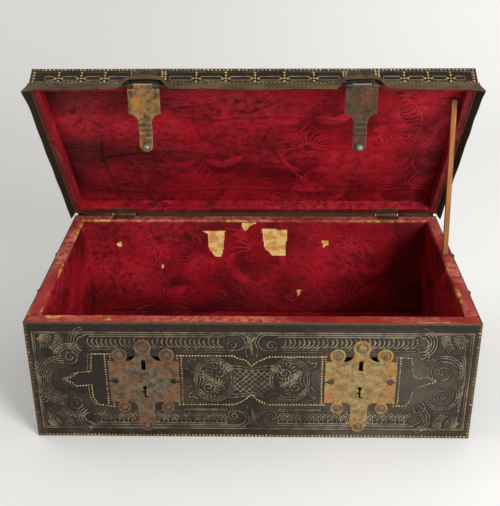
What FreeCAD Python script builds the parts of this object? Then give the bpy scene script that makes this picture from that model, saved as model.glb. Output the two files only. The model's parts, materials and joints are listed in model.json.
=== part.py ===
"""A leather-covered travelling trunk, propped open by a loose stick.

Frame: origin at the centre of the underside, +X to the right as seen from the front,
+Y to the back, +Z up. Millimetres and degrees. The lid is drawn closed, about its hinge
axis, and its placement then opens it.
"""
import FreeCAD, Part
import Sketcher
import math
import os
import re

SIZES = {
    # The whole trunk
    "trunk_width": 700,
    "trunk_depth": 376,
    "base_height": 220,
    "lid_height": 36,
    "lid_open_angle": 57.4,
    "closing_gap": 1,
    # Walls of the base, from the outside in
    "base_leather": 2,
    "base_board": 18,
    "base_lining": 2,
    "floor_board": 14,
    "floor_lining": 2,
    "rim_cover": 4,
    "rim_round": 3.8,
    "leather_lift": 1,
    # Walls of the lid
    "lid_leather": 2,
    "lid_board": 10.5,
    "lid_lining": 1.5,
    "lid_rim_cover": 2,
    # Leather weather lip round the lid
    "lip_leather": 1.8,
    "lip_seat": 4,
    "lip_drop": 14,
    "lip_flare": 8,
    "lip_clearance": 0.6,
    "lip_arch_seat": 16,
    "lip_arch_edge": 5,
    "lip_arch_reach": 8,
    "lip_arch_half_width": 27,
    "lip_arch_run": 10,
    # Butt hinges on the back wall
    "hinge_from_end": 95,
    "hinge_width": 41,
    "leaf_thickness": 1.6,
    "leaf_depth": 15,
    "barrel_radius": 3.2,
    "barrel_clearance": 0.4,
    "hinge_pin_radius": 1.4,
    "knuckle_gap": 0.3,
    "pin_clearance": 0.08,
    "fit_gap": 0.2,
    # Hasps and their straps
    "hasp_from_end": 180.5,
    "hasp_standoff": 5.3,
    "hasp_drop": 5,
    "strap_width": 41,
    "strap_height": 30,
    "strap_thickness": 2,
    "strap_clearance": 0.4,
    "strap_ear_lift": 1.5,
    "hasp_width": 50,
    "hasp_thickness": 2.5,
    "hasp_barrel_radius": 3.6,
    "hasp_barrel_width": 30,
    "hasp_shoulder": 46,
    "hasp_tongue_width": 21,
    "hasp_length": 109,
    "hasp_pin_radius": 1.4,
    "hasp_pin_head": 2.4,
    "hasp_pin_head_depth": 1.2,
    "staple_below_pivot": 73.5,
    "staple_width": 3,
    "staple_height": 13,
    "staple_reach": 14,
    "staple_eye_near": 6.9,
    "staple_eye_far": 11.8,
    "staple_eye_height": 7.6,
    "knob_radius": 6.5,
    "knob_above_end": 8,
    # Lock plates, with heights up from a foot line that lies slot_in_plate below the slot
    "slot_in_plate": 142.5,
    "plate_thickness": 2,
    "plate_width": 111,
    "plate_body_low": 71.5,
    "plate_body_high": 150.5,
    "crown_radius": 14.5,
    "crown_centre": 175.5,
    "neck_half_width": 11.5,
    "neck_flare": 15,
    "upper_lobe_radius": 12.8,
    "upper_lobe_spread": 36.5,
    "upper_lobe_centre": 161.5,
    "lower_lobe_radius": 11,
    "lower_lobe_spread": 35,
    "lower_lobe_centre": 61.5,
    "tongue_half_width": 14,
    "tongue_flare": 9,
    "foot_lobe_radius": 11,
    "foot_lobe_centre": 25,
    "ear_half_span": 20,
    "ear_height": 5,
    "ear_low": 30,
    "side_hole_radius": 5,
    "side_hole_inset": 9.5,
    "side_slit": 3,
    "side_hole_centre": 112,
    "slot_width": 6.4,
    "slot_height": 18,
    "key_hole_radius": 3.3,
    "key_hole_centre": 99.5,
    "key_slit": 2.4,
    "key_slit_low": 81,
    "key_ward_reach": 5.5,
    "key_upper_ward": 89.5,
    "nail_radius": 4.6,
    "nail_height": 1.5,
    # Lock cases, bolts and springs
    "case_half_width": 32,
    "case_low": 78,
    "case_high": 160,
    "case_depth": 12,
    "case_wall": 1.5,
    "bolt_start": 5,
    "bolt_end_gap": 3.5,
    "bolt_height": 6,
    "bolt_thickness": 3.5,
    "bolt_behind_plate": 2,
    "bolt_travel": 12,
    "bolt_gap": 0.3,
    "tail_width": 13,
    "tail_thickness": 1.8,
    "tail_low": 106,
    "talon_width": 6,
    "talon_height": 7,
    "guide_height": 2.5,
    "spring_thickness": 0.8,
    "spring_radius": 13,
    "spring_width": 3,
    # Drop handles on the ends
    "handle_below_rim": 21,
    "handle_half_span": 64,
    "eye_reach": 6.2,
    "eye_radius": 4.2,
    "eye_wire": 1.5,
    "shank_radius": 1.8,
    "clinch_length": 12,
    "clinch_width": 3,
    "clinch_thickness": 1.5,
    "bail_radius": 2.5,
    "bail_end": 8,
    "bail_shoulder": 12,
    "bail_waist": 20,
    "bail_drop": 48,
    "bail_bend": 9,
    # Prop stick
    "prop_side": 8,
    "prop_from_front": 58,
    "prop_top_inset": 2,
    "prop_foot_inset": 8,
    "prop_gap": 0.3,
    "prop_foot_bevel": 21,
    # One overrun for every cut
    "overrun": 3,
}

doc = FreeCAD.newDocument("travelling_trunk")
sheet = doc.addObject("Spreadsheet::Sheet", "dims")
for row, (alias, number) in enumerate(SIZES.items(), start=1):
    sheet.set(f"A{row}", alias)
    sheet.set(f"B{row}", str(number))
    sheet.setAlias(f"B{row}", alias)
doc.recompute()

# Lengths that many pieces share, as formulas on the sheet
BASE_WALL = "(base_leather + base_board + base_lining)"
CASE_WIDTH = "(trunk_width - 2*base_leather)"
CASE_DEPTH = "(trunk_depth - 2*base_leather)"
INNER_WIDTH = "(trunk_width - 2*base_leather - 2*base_board)"
INNER_DEPTH = "(trunk_depth - 2*base_leather - 2*base_board)"
SETBACK = "(barrel_radius + barrel_clearance)"
HINGE_Y = f"(trunk_depth/2 + {SETBACK})"
HINGE_Z = "(base_height + closing_gap/2)"
LID_BACK = f"(-{SETBACK})"
LID_FRONT = f"(-{SETBACK} - trunk_depth)"
LID_RIM = "(closing_gap/2)"
LID_TOP = "(closing_gap/2 + lid_height)"
PIVOT_Y = f"({LID_FRONT} - hasp_standoff)"
PIVOT_Z = f"({LID_RIM} - hasp_drop)"
LOCK_FOOT = "(base_height + closing_gap - hasp_drop - staple_below_pivot - slot_in_plate)"
HINGE_X = "(trunk_width/2 - hinge_from_end)"
HASP_X = "(trunk_width/2 - hasp_from_end)"
HANDLE_Z = "(base_height - handle_below_rim)"
BOLT_END = "(-case_half_width + case_wall + bolt_end_gap)"

parts = []


def value(alias):
    """The number that a cell of the sheet holds."""
    return float(sheet.get(alias))


def linked(formula):
    """A formula on the sizes' names, with each name pointed at its cell."""
    def cell(match):
        word = match.group(0)
        return f"dims.{word}" if word in SIZES else word
    return re.sub(r"[a-z_]+", cell, formula)


def bind(thing, prop, formula):
    """Binds one property of an object to a formula."""
    thing.setExpression(prop, linked(formula))


def place(thing, x="0", y="0", z="0", in_lid=False):
    """Puts an object at a point, of the trunk or of the closed lid about its hinge axis."""
    if in_lid:
        thing.Placement.Rotation = FreeCAD.Rotation(FreeCAD.Vector(1, 0, 0), -value("lid_open_angle"))
        bind(thing, "Placement.Rotation.Angle", "-lid_open_angle")
        x, y, z = x, opened_y(y, z), opened_z(y, z)
    bind(thing, "Placement.Base.x", x)
    bind(thing, "Placement.Base.y", y)
    bind(thing, "Placement.Base.z", z)
    return thing


def opened_y(y, z):
    """Where a point of the closed lid lies in Y once the lid is open."""
    return f"{HINGE_Y} + ({y})*cos(lid_open_angle) + ({z})*sin(lid_open_angle)"


def opened_z(y, z):
    """Where a point of the closed lid lies in Z once the lid is open."""
    return f"{HINGE_Z} - ({y})*sin(lid_open_angle) + ({z})*cos(lid_open_angle)"


def box(size, corner, in_lid=False):
    """A block by its three lengths and its lowest corner."""
    block = doc.addObject("Part::Box", "Block")
    for prop, formula in zip(("Length", "Width", "Height"), size):
        bind(block, prop, formula)
    return place(block, *corner, in_lid=in_lid)


TURNS = {"x": FreeCAD.Rotation(FreeCAD.Vector(0, 1, 0), 90),
         "y": FreeCAD.Rotation(FreeCAD.Vector(1, 0, 0), -90),
         "z": FreeCAD.Rotation()}


def rod(radius, length, start, along):
    """A cylinder by its radius, its length, the centre of its low end and its direction."""
    cylinder = doc.addObject("Part::Cylinder", "Rod")
    bind(cylinder, "Radius", radius)
    bind(cylinder, "Height", length)
    cylinder.Placement.Rotation = TURNS[along]
    return place(cylinder, *start)


def fuse(pieces):
    """One solid from several that overlap."""
    if len(pieces) == 1:
        return pieces[0]
    joined = doc.addObject("Part::MultiFuse", "Fusion")
    joined.Shapes = pieces
    joined.Refine = True
    return joined


def cut(piece, tools):
    """A solid with others taken out of it."""
    rest = doc.addObject("Part::Cut", "Cut")
    rest.Base = piece
    rest.Tool = fuse(tools)
    rest.Refine = True
    return rest


def common(piece, other):
    """What two solids share."""
    shared = doc.addObject("Part::MultiCommon", "Common")
    shared.Shapes = [piece, other]
    return shared


def group(pieces):
    """Several separate solids in one node."""
    together = doc.addObject("Part::Compound", "Group")
    together.Links = pieces
    return together


def solid(name, shape):
    """A piece whose shape is worked out here from the sheet's sizes."""
    feature = doc.addObject("Part::Feature", name)
    feature.Shape = shape
    return feature


def part(name, thing):
    """Names a finished sub-part."""
    thing.Label = name
    parts.append(thing)
    return thing


def centred(length):
    """The low corner of a length centred on zero."""
    return f"-({length})/2"


def ring(outer_x, outer_y, wall, height, corner_z, middle_y="0"):
    """A rectangular ring: its outer lengths, its wall, its height and where it stands."""
    outside = box((outer_x, outer_y, height),
                  (centred(outer_x), f"{middle_y} - ({outer_y})/2", corner_z))
    hole_x = f"({outer_x} - 2*{wall})"
    hole_y = f"({outer_y} - 2*{wall})"
    hole = box((hole_x, hole_y, f"{height} + 2*overrun"),
               (centred(hole_x), f"{middle_y} - ({hole_y})/2", f"{corner_z} - overrun"))
    return cut(outside, [hole])


def rounded_ring():
    """The rim cover: a pad with a rounded inner edge along its top."""
    body = doc.addObject("PartDesign::Body", "RimBody")
    sketch = body.newObject("Sketcher::SketchObject", "RimOutline")
    plane = [item for item in body.Origin.OriginFeatures if item.Role == "XY_Plane"][0]
    sketch.AttachmentSupport = [(plane, "")]
    sketch.MapMode = "FlatFace"
    rectangle(sketch, CASE_WIDTH, CASE_DEPTH)
    rectangle(sketch, f"(trunk_width - 2*{BASE_WALL})", f"(trunk_depth - 2*{BASE_WALL})")
    pad = body.newObject("PartDesign::Pad", "RimPad")
    pad.Profile = sketch
    bind(pad, "Length", "rim_cover")
    doc.recompute()
    half_width = value("trunk_width")/2 - wall_of_base()
    half_depth = value("trunk_depth")/2 - wall_of_base()
    names = []
    for index, edge in enumerate(pad.Shape.Edges, start=1):
        room = edge.BoundBox
        inside = max(room.XMax, -room.XMin) <= half_width + value("fit_gap")
        inside = inside and max(room.YMax, -room.YMin) <= half_depth + value("fit_gap")
        if inside and room.ZMin > value("rim_cover")/2:
            names.append(f"Edge{index}")
    fillet = body.newObject("PartDesign::Fillet", "RimRound")
    fillet.Base = (pad, names)
    bind(fillet, "Radius", "rim_round")
    body.Tip = fillet
    bind(body, "Placement.Base.z", "base_height - rim_cover")
    return body


def rectangle(sketch, across, deep):
    """A centred rectangle in a sketch, held by its width and its depth."""
    first = sketch.GeometryCount
    corners = [(-1, -1), (1, -1), (1, 1), (-1, 1)]
    for index, (x, y) in enumerate(corners):
        next_x, next_y = corners[(index + 1) % 4]
        sketch.addGeometry(Part.LineSegment(FreeCAD.Vector(x, y, 0), FreeCAD.Vector(next_x, next_y, 0)))
    for index in range(4):
        sketch.addConstraint(Sketcher.Constraint("Coincident", first + index, 2, first + (index + 1) % 4, 1))
        direction = "Horizontal" if index % 2 == 0 else "Vertical"
        sketch.addConstraint(Sketcher.Constraint(direction, first + index))
    for start, kind, formula, sign in ((0, "DistanceX", across, "-"), (0, "DistanceY", deep, "-"),
                                       (2, "DistanceX", across, ""), (2, "DistanceY", deep, "")):
        number = sketch.addConstraint(Sketcher.Constraint(kind, -1, 1, first + start, 1, 1.0))
        sketch.setExpression(f"Constraints[{number}]", linked(f"{sign}({formula})/2"))


def wall_of_base():
    """The whole thickness of a side wall of the base."""
    return value("base_leather") + value("base_board") + value("base_lining")


def leaf_recesses(z_low, height, middle_y, faces_up):
    """Blocks that clear the two hinge leaves out of a rim."""
    blocks = []
    low = f"({z_low})" if faces_up else f"({z_low} - overrun)"
    for side in ("-", ""):
        width = "(hinge_width + 2*fit_gap)"
        blocks.append(box((width, "leaf_depth + fit_gap + overrun", f"{height} + overrun"),
                          (f"{side}{HINGE_X} - {width}/2", f"{middle_y} - leaf_depth - fit_gap", low)))
    return blocks


# Base: boards, leather, linings and rim


def base_case():
    """The wooden case of the base, its leather outside and its lining inside."""
    wall_height = "(base_height - rim_cover - floor_board)"
    part("base_floor_board", box((CASE_WIDTH, CASE_DEPTH, "floor_board"),
                                 (centred(CASE_WIDTH), centred(CASE_DEPTH), "0")))
    front = box((CASE_WIDTH, "base_board", wall_height),
                (centred(CASE_WIDTH), centred(CASE_DEPTH), "floor_board"))
    part("base_front_board", cut(front, [lock_mortise(side) for side in ("-", "")]))
    part("base_back_board", box((CASE_WIDTH, "base_board", wall_height),
                                (centred(CASE_WIDTH), f"{CASE_DEPTH}/2 - base_board", "floor_board")))
    for name, side, low in (("left", "-", f"-{CASE_WIDTH}/2"), ("right", "", f"{CASE_WIDTH}/2 - base_board")):
        board = box(("base_board", INNER_DEPTH, wall_height), (low, centred(INNER_DEPTH), "floor_board"))
        part(f"base_{name}_board", cut(board, shank_holes(side)))

    skin_height = "(base_height - leather_lift)"
    front_skin = box(("trunk_width", "base_leather", skin_height),
                     ("-trunk_width/2", "-trunk_depth/2", "leather_lift"))
    part("base_front_leather", cut(front_skin, [lock_mortise(side) for side in ("-", "")]))
    back_skin = box(("trunk_width", "base_leather", skin_height),
                    ("-trunk_width/2", "trunk_depth/2 - base_leather", "leather_lift"))
    recess = ("base_height - leaf_thickness", "leaf_thickness", "trunk_depth/2", True)
    part("base_back_leather", cut(back_skin, leaf_recesses(*recess)))
    for name, side, low in (("left", "-", "-trunk_width/2"), ("right", "", "trunk_width/2 - base_leather")):
        skin = box(("base_leather", CASE_DEPTH, skin_height), (low, centred(CASE_DEPTH), "leather_lift"))
        part(f"base_{name}_leather", cut(skin, shank_holes(side)))

    lining_low = "(floor_board + floor_lining)"
    lining_height = f"(base_height - rim_cover - {lining_low})"
    part("floor_cloth", box((INNER_WIDTH, INNER_DEPTH, "floor_lining"),
                            (centred(INNER_WIDTH), centred(INNER_DEPTH), "floor_board")))
    part("base_front_cloth", box((INNER_WIDTH, "base_lining", lining_height),
                                 (centred(INNER_WIDTH), centred(INNER_DEPTH), lining_low)))
    part("base_back_cloth", box((INNER_WIDTH, "base_lining", lining_height),
                                (centred(INNER_WIDTH), f"{INNER_DEPTH}/2 - base_lining", lining_low)))
    cloth_depth = f"({INNER_DEPTH} - 2*base_lining)"
    for name, side, low in (("left", "-", f"-{INNER_WIDTH}/2"), ("right", "", f"{INNER_WIDTH}/2 - base_lining")):
        cloth = box(("base_lining", cloth_depth, lining_height), (low, centred(cloth_depth), lining_low))
        part(f"base_{name}_cloth", cut(cloth, shank_holes(side)))
    part("base_rim_cloth", cut(rounded_ring(), leaf_recesses(*recess)))


def lock_mortise(side):
    """The window that a lock case fills in the front leather and board."""
    width = "(2*case_half_width + 2*fit_gap)"
    height = "(case_high - case_low + 2*fit_gap)"
    return box((width, "case_depth + fit_gap + overrun", height),
               (f"{side}{HASP_X} - {width}/2", "-trunk_depth/2 - overrun", f"{LOCK_FOOT} + case_low - fit_gap"))


def shank_holes(side):
    """The holes that the two handle shanks of one end pass through."""
    length = f"({BASE_WALL} + 2*overrun)"
    start = "-trunk_width/2 - overrun" if side == "-" else f"trunk_width/2 - {BASE_WALL} - overrun"
    return [rod("shank_radius + fit_gap", length, (start, f"{end}handle_half_span", HANDLE_Z), "x")
            for end in ("-", "")]


# Locks: plate, nails, case, bolt and spring, drawn at the middle of the front


def lock_plate(side):
    """A shaped iron plate with five nailed lobes, a crown, a staple slot and a key hole."""
    def disc(radius, x, z):
        return rod(radius, "plate_thickness", (x, "-plate_thickness", z), "y")

    def slab(half_width, low, high):
        return box((f"2*{half_width}", "plate_thickness", f"{high} - ({low})"),
                   (f"-{half_width}", "-plate_thickness", low))

    def scoop(radius, x, z):
        return rod(radius, "plate_thickness + 2*overrun", (x, "-plate_thickness - overrun", z), "y")

    def hole(width, x, low, height):
        return box((width, "plate_thickness + 2*overrun", height), (x, "-plate_thickness - overrun", low))

    neck_top = "(plate_body_high + neck_flare)"
    neck_side = "(neck_half_width + neck_flare)"
    neck = cut(slab(neck_side, "plate_body_high", neck_top),
               [scoop("neck_flare", f"{end}{neck_side}", neck_top) for end in ("-", "")])
    tongue_side = "(tongue_half_width + tongue_flare)"
    tongue_top = "(plate_body_low - tongue_flare)"
    root = cut(slab(tongue_side, tongue_top, "plate_body_low"),
               [scoop("tongue_flare", f"{end}{tongue_side}", tongue_top) for end in ("-", "")])
    outline = [slab("plate_width/2", "plate_body_low", "plate_body_high"), neck, root,
               slab("neck_half_width", neck_top, "crown_centre"),
               slab("tongue_half_width", "foot_lobe_centre", tongue_top),
               slab("ear_half_span", "ear_low", "(ear_low + ear_height)"),
               disc("crown_radius", "0", "crown_centre"), disc("foot_lobe_radius", "0", "foot_lobe_centre")]
    for end in ("-", ""):
        outline.append(disc("upper_lobe_radius", f"{end}upper_lobe_spread", "upper_lobe_centre"))
        outline.append(disc("lower_lobe_radius", f"{end}lower_lobe_spread", "lower_lobe_centre"))
    openings = [hole("slot_width", "-slot_width/2", "slot_in_plate - slot_height/2", "slot_height"),
                scoop("key_hole_radius", "0", "key_hole_centre"),
                hole("key_slit", "-key_slit/2", "key_slit_low", "key_hole_centre - key_slit_low"),
                hole("key_ward_reach", "-key_ward_reach", "key_upper_ward", "key_slit"),
                hole("key_ward_reach", "0", "key_slit_low", "key_slit")]
    for end, slit_start in (("-", "-plate_width/2 - overrun"), ("", "plate_width/2 - side_hole_inset")):
        openings.append(scoop("side_hole_radius", f"{end}(plate_width/2 - side_hole_inset)", "side_hole_centre"))
        openings.append(hole("side_hole_inset + overrun", slit_start, "side_hole_centre - side_slit/2",
                             "side_slit"))
    return place(cut(fuse(outline), openings), f"{side}{HASP_X}", "-trunk_depth/2", LOCK_FOOT)


def lock_nails(side):
    """Five domed nail heads, one seated on each lobe of a plate but the crown."""
    dome = "((nail_radius*nail_radius + nail_height*nail_height) / (2*nail_height))"
    spots = [("0", "foot_lobe_centre")]
    for end in ("-", ""):
        spots.append((f"{end}upper_lobe_spread", "upper_lobe_centre"))
        spots.append((f"{end}lower_lobe_spread", "lower_lobe_centre"))
    heads = []
    for x, z in spots:
        ball = doc.addObject("Part::Sphere", "Ball")
        bind(ball, "Radius", dome)
        place(ball, x, f"-plate_thickness - nail_height + {dome}", z)
        face = rod("nail_radius", "nail_height", (x, "-plate_thickness - nail_height", z), "y")
        heads.append(common(ball, face))
    return place(group(heads), f"{side}{HASP_X}", "-trunk_depth/2", LOCK_FOOT)


def lock_case(side):
    """An iron box let into the front board, open towards its plate, with the bolt's guide."""
    height = "(case_high - case_low)"
    shell = box(("2*case_half_width", "case_depth", height), ("-case_half_width", "0", "case_low"))
    hollow = box(("2*case_half_width - 2*case_wall", "case_depth - case_wall + overrun", f"{height} - 2*case_wall"),
                 ("-case_half_width + case_wall", "-overrun", "case_low + case_wall"))
    guide = box(("case_half_width - bolt_start - bolt_travel/2", "bolt_thickness + case_wall/2", "guide_height"),
                ("-case_half_width + case_wall/2", "bolt_behind_plate - case_wall/2",
                 "slot_in_plate - bolt_height/2 - bolt_gap - guide_height"))
    return place(fuse([cut(shell, [hollow]), guide]), f"{side}{HASP_X}", "-trunk_depth/2", LOCK_FOOT)


def lock_bolt(side):
    """A sliding bar with a tail behind it, notched for the key."""
    bar = box((f"-bolt_start - {BOLT_END}", "bolt_thickness", "bolt_height"),
              (BOLT_END, "bolt_behind_plate", "slot_in_plate - bolt_height/2"))
    tail_y = "(bolt_behind_plate + bolt_thickness)"
    tail = box(("tail_width", "tail_thickness", "slot_in_plate + bolt_height/2 - tail_low"),
               (BOLT_END, tail_y, "tail_low"))
    talon = box(("talon_width", "tail_thickness + 2*overrun", "talon_height + overrun"),
                (f"{BOLT_END} + tail_width/2 - talon_width/2", f"{tail_y} - overrun/2", "tail_low - overrun"))
    return place(fuse([bar, cut(tail, [talon])]), f"{side}{HASP_X}", "-trunk_depth/2", LOCK_FOOT)


def lock_spring(side):
    """A bowed strip between the roof of the case and the bolt."""
    centre_x = f"((-bolt_start + {BOLT_END})/2)"
    foot = "(slot_in_plate + bolt_height/2 + bolt_gap)"
    roof = "(case_high - case_wall)"
    rise = f"({roof} - {foot})"
    start = (centre_x, "bolt_behind_plate", f"{foot} + spring_radius")
    outer = rod("spring_radius", "spring_width", start, "y")
    inner = rod("spring_radius - spring_thickness", "spring_width + 2*overrun",
                (start[0], "bolt_behind_plate - overrun", start[2]), "y")
    room = box(("2*spring_radius + 2*overrun", "spring_width + 2*overrun", f"{rise} + overrun"),
               (f"{centre_x} - spring_radius - overrun", "bolt_behind_plate - overrun", f"{foot} - overrun"))
    return place(common(cut(outer, [inner]), room), f"{side}{HASP_X}", "-trunk_depth/2", LOCK_FOOT)


# Butt hinges


def hinge_leaf(side, on_lid):
    """A leaf with its share of the barrel: the two end knuckles on the base, the middle one on the lid."""
    third = "(hinge_width/3)"
    low = f"({LID_RIM})" if on_lid else "(-closing_gap/2 - leaf_thickness)"
    plate = box(("hinge_width", f"leaf_depth + {SETBACK}", "leaf_thickness"),
                (centred("hinge_width"), f"-leaf_depth - {SETBACK}", low))
    web_low = f"{LID_RIM} - closing_gap/2" if on_lid else "(-closing_gap/2 - leaf_thickness)"
    web = box(("hinge_width", "barrel_radius", "leaf_thickness + closing_gap/2"),
              (centred("hinge_width"), "-barrel_radius", web_low))
    barrel = rod("barrel_radius", "hinge_width", (centred("hinge_width"), "0", "0"), "x")
    bore = rod("hinge_pin_radius + pin_clearance", "hinge_width + 2*overrun",
               (f"{centred('hinge_width')} - overrun", "0", "0"), "x")
    room = f"{SETBACK}"
    if on_lid:
        clear = [rod(room, f"{third} + knuckle_gap/2 + overrun", ("-hinge_width/2 - overrun", "0", "0"), "x"),
                 rod(room, f"{third} + knuckle_gap/2 + overrun", (f"{third}/2 - knuckle_gap/2", "0", "0"), "x")]
    else:
        clear = [rod(room, f"{third} + knuckle_gap", (f"-{third}/2 - knuckle_gap/2", "0", "0"), "x")]
    leaf = cut(fuse([plate, web, barrel]), clear + [bore])
    if on_lid:
        return place(leaf, f"{side}{HINGE_X}", "0", "0", in_lid=True)
    return place(leaf, f"{side}{HINGE_X}", HINGE_Y, HINGE_Z)


def hinge_pin(side):
    """The wire that a hinge turns on."""
    return rod("hinge_pin_radius", "hinge_width", (f"{side}{HINGE_X} - hinge_width/2", HINGE_Y, HINGE_Z), "x")


# Drop handles


def handle_staples(side):
    """Two eyes on shanks that pass through the end and are clenched inside."""
    solids = []
    sign = -1 if side == "-" else 1
    for end in ("-", ""):
        centre_x = f"{sign}*(trunk_width/2 + eye_reach)"
        eye = doc.addObject("Part::Torus", "Eye")
        bind(eye, "Radius1", "eye_radius")
        bind(eye, "Radius2", "eye_wire")
        eye.Placement.Rotation = TURNS["y"]
        place(eye, centre_x, f"{end}handle_half_span", HANDLE_Z)
        inner = f"(trunk_width/2 - {BASE_WALL} - clinch_thickness)"
        length = f"(eye_reach - eye_radius + {BASE_WALL} + clinch_thickness)"
        start = inner if sign > 0 else "-(trunk_width/2 + eye_reach - eye_radius)"
        shank = rod("shank_radius", length, (start, f"{end}handle_half_span", HANDLE_Z), "x")
        clinch_x = inner if sign > 0 else f"-(trunk_width/2 - {BASE_WALL})"
        clinch = box(("clinch_thickness", "clinch_length", "clinch_width"),
                     (clinch_x, f"{end}handle_half_span - clinch_length/2", f"{HANDLE_Z} - clinch_width/2"))
        solids.append(fuse([eye, shank, clinch]))
    return group(solids)


def rounded_wire(points, radius):
    """A path of straight runs joined by tangent arcs of one radius."""
    edges = []
    here = points[0]
    for before, corner, after in zip(points, points[1:], points[2:]):
        inward = (before - corner).normalize()
        outward = (after - corner).normalize()
        half = inward.getAngle(outward) / 2
        reach = radius / math.tan(half)
        start = corner + inward * reach
        finish = corner + outward * reach
        middle = corner + (inward + outward).normalize() * (radius / math.sin(half) - radius)
        edges.append(Part.LineSegment(here, start).toShape())
        edges.append(Part.Arc(start, middle, finish).toShape())
        here = finish
    edges.append(Part.LineSegment(here, points[-1]).toShape())
    return Part.Wire(edges)


def bail(side):
    """A bent rod that hangs from its two eyes."""
    sign = -1 if side == "-" else 1
    x = sign * (value("trunk_width")/2 + value("eye_reach"))
    span = value("handle_half_span")
    top = value("base_height") - value("handle_below_rim")
    half = [(span + value("bail_end"), 0), (span - value("bail_shoulder"), 0),
            (span - value("bail_waist"), value("bail_drop"))]
    path = [FreeCAD.Vector(x, -y, top - drop) for y, drop in half]
    path += [FreeCAD.Vector(x, y, top - drop) for y, drop in reversed(half)]
    wire = rounded_wire(path, value("bail_bend"))
    section = Part.Wire(Part.makeCircle(value("bail_radius"), path[0], FreeCAD.Vector(0, 1, 0)))
    pipe = wire.makePipeShell([section], True, False)
    return solid(f"Bail{'Left' if sign < 0 else 'Right'}", pipe)


# Lid: boards, leather, linings, rim and lip


def lid_case():
    """The shallow wooden tray of the lid, leather outside and cloth inside."""
    lid_width = "(trunk_width - 2*lid_leather)"
    lid_depth = "(trunk_depth - 2*lid_leather)"
    back = f"({LID_BACK} - lid_leather)"
    front = f"({LID_FRONT} + lid_leather)"
    middle = f"({LID_BACK} - trunk_depth/2)"
    low = f"({LID_RIM} + lid_rim_cover)"
    board_top = f"({LID_TOP} - lid_leather)"
    wall_height = f"({board_top} - lid_board - {low})"
    part("lid_top_board", box((lid_width, lid_depth, "lid_board"),
                              (centred(lid_width), front, f"{board_top} - lid_board"), in_lid=True))
    part("lid_front_board", box((lid_width, "lid_board", wall_height),
                                (centred(lid_width), front, low), in_lid=True))
    recess = (LID_RIM, "leaf_thickness", LID_BACK, False)
    back_board = box((lid_width, "lid_board", wall_height), (centred(lid_width), f"{back} - lid_board", low))
    part("lid_back_board", place(cut(back_board, leaf_recesses(*recess)), in_lid=True))
    end_depth = f"({lid_depth} - 2*lid_board)"
    for name, x in (("left", f"-{lid_width}/2"), ("right", f"{lid_width}/2 - lid_board")):
        part(f"lid_{name}_board", box(("lid_board", end_depth, wall_height),
                                      (x, f"{front} + lid_board", low), in_lid=True))
    part("lid_top_leather", box(("trunk_width", "trunk_depth", "lid_leather"),
                                ("-trunk_width/2", LID_FRONT, board_top), in_lid=True))
    band = ring("trunk_width", "trunk_depth", "lid_leather", f"({board_top} - {LID_RIM})", LID_RIM, middle)
    part("lid_band_leather", place(cut(band, leaf_recesses(*recess)), in_lid=True))
    cloth_width = f"({lid_width} - 2*lid_board)"
    part("lid_top_cloth", box((cloth_width, end_depth, "lid_lining"),
                              (centred(cloth_width), f"{front} + lid_board", f"{board_top} - lid_board - lid_lining"),
                              in_lid=True))
    part("lid_wall_cloth", place(ring(cloth_width, end_depth, "lid_lining", f"({wall_height} - lid_lining)",
                                      low, middle), in_lid=True))
    rim_wall = "(lid_board + lid_lining)"
    rim = ring(lid_width, lid_depth, rim_wall, "lid_rim_cover", LID_RIM, middle)
    part("lid_rim_cloth", place(cut(rim, leaf_recesses(*recess)), in_lid=True))


def lip_profile(arched):
    """Points of the lip's section, each as how far it stands out and how high it is above the rim."""
    skin = value("lip_leather")
    if arched:
        seat = value("strap_thickness") + value("strap_clearance") + value("knuckle_gap")
        edge = value("lip_arch_edge")
        reach = value("lip_arch_reach")
        top = value("lip_arch_seat")
        turn = (edge + top)/2
        return [(seat, top), (seat, turn), (seat + skin/2, turn - skin), (reach, edge),
                (reach + skin, edge + skin/2), (seat + skin, turn), (seat + skin, top)]
    drop = value("lip_drop")
    flare = value("lip_flare")
    gap = value("lip_clearance")
    return [(0, value("lip_seat")), (0, gap/2), (gap, -skin/2), (flare, -drop),
            (flare + skin, -drop + skin/3), (skin + gap, 0), (skin, value("lip_seat"))]


def lip_wire(points):
    """A closed outline through points in space."""
    return Part.makePolygon(points + [points[0]])


def lid_lip(which):
    """One side of the flared leather lip, mitred where two sides meet."""
    rim = value("closing_gap")/2
    back = -(value("barrel_radius") + value("barrel_clearance"))
    front = back - value("trunk_depth")
    edge = value("trunk_width")/2
    plain = lip_profile(False)
    if which == "front":
        centre = value("trunk_width")/2 - value("hasp_from_end")
        narrow = value("lip_arch_half_width")
        wide = narrow + value("lip_arch_run")
        sections = [lip_wire([FreeCAD.Vector(-edge - out, front - out, rim + up) for out, up in plain])]
        for hasp in (-centre, centre):
            for shift, arched in ((-wide, False), (-narrow, True), (narrow, True), (wide, False)):
                sections.append(lip_wire([FreeCAD.Vector(hasp + shift, front - out, rim + up)
                                          for out, up in lip_profile(arched)]))
        sections.append(lip_wire([FreeCAD.Vector(edge + out, front - out, rim + up) for out, up in plain]))
    else:
        sign = -1 if which == "left" else 1
        sections = [lip_wire([FreeCAD.Vector(sign*(edge + out), front - out, rim + up) for out, up in plain]),
                    lip_wire([FreeCAD.Vector(sign*(edge + out), back, rim + up) for out, up in plain])]
    loft = Part.makeLoft(sections, True, True)
    lip = solid(f"Lip{which.capitalize()}", loft)
    return place(lip, in_lid=True)


# Hasps, their straps and pins


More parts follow.
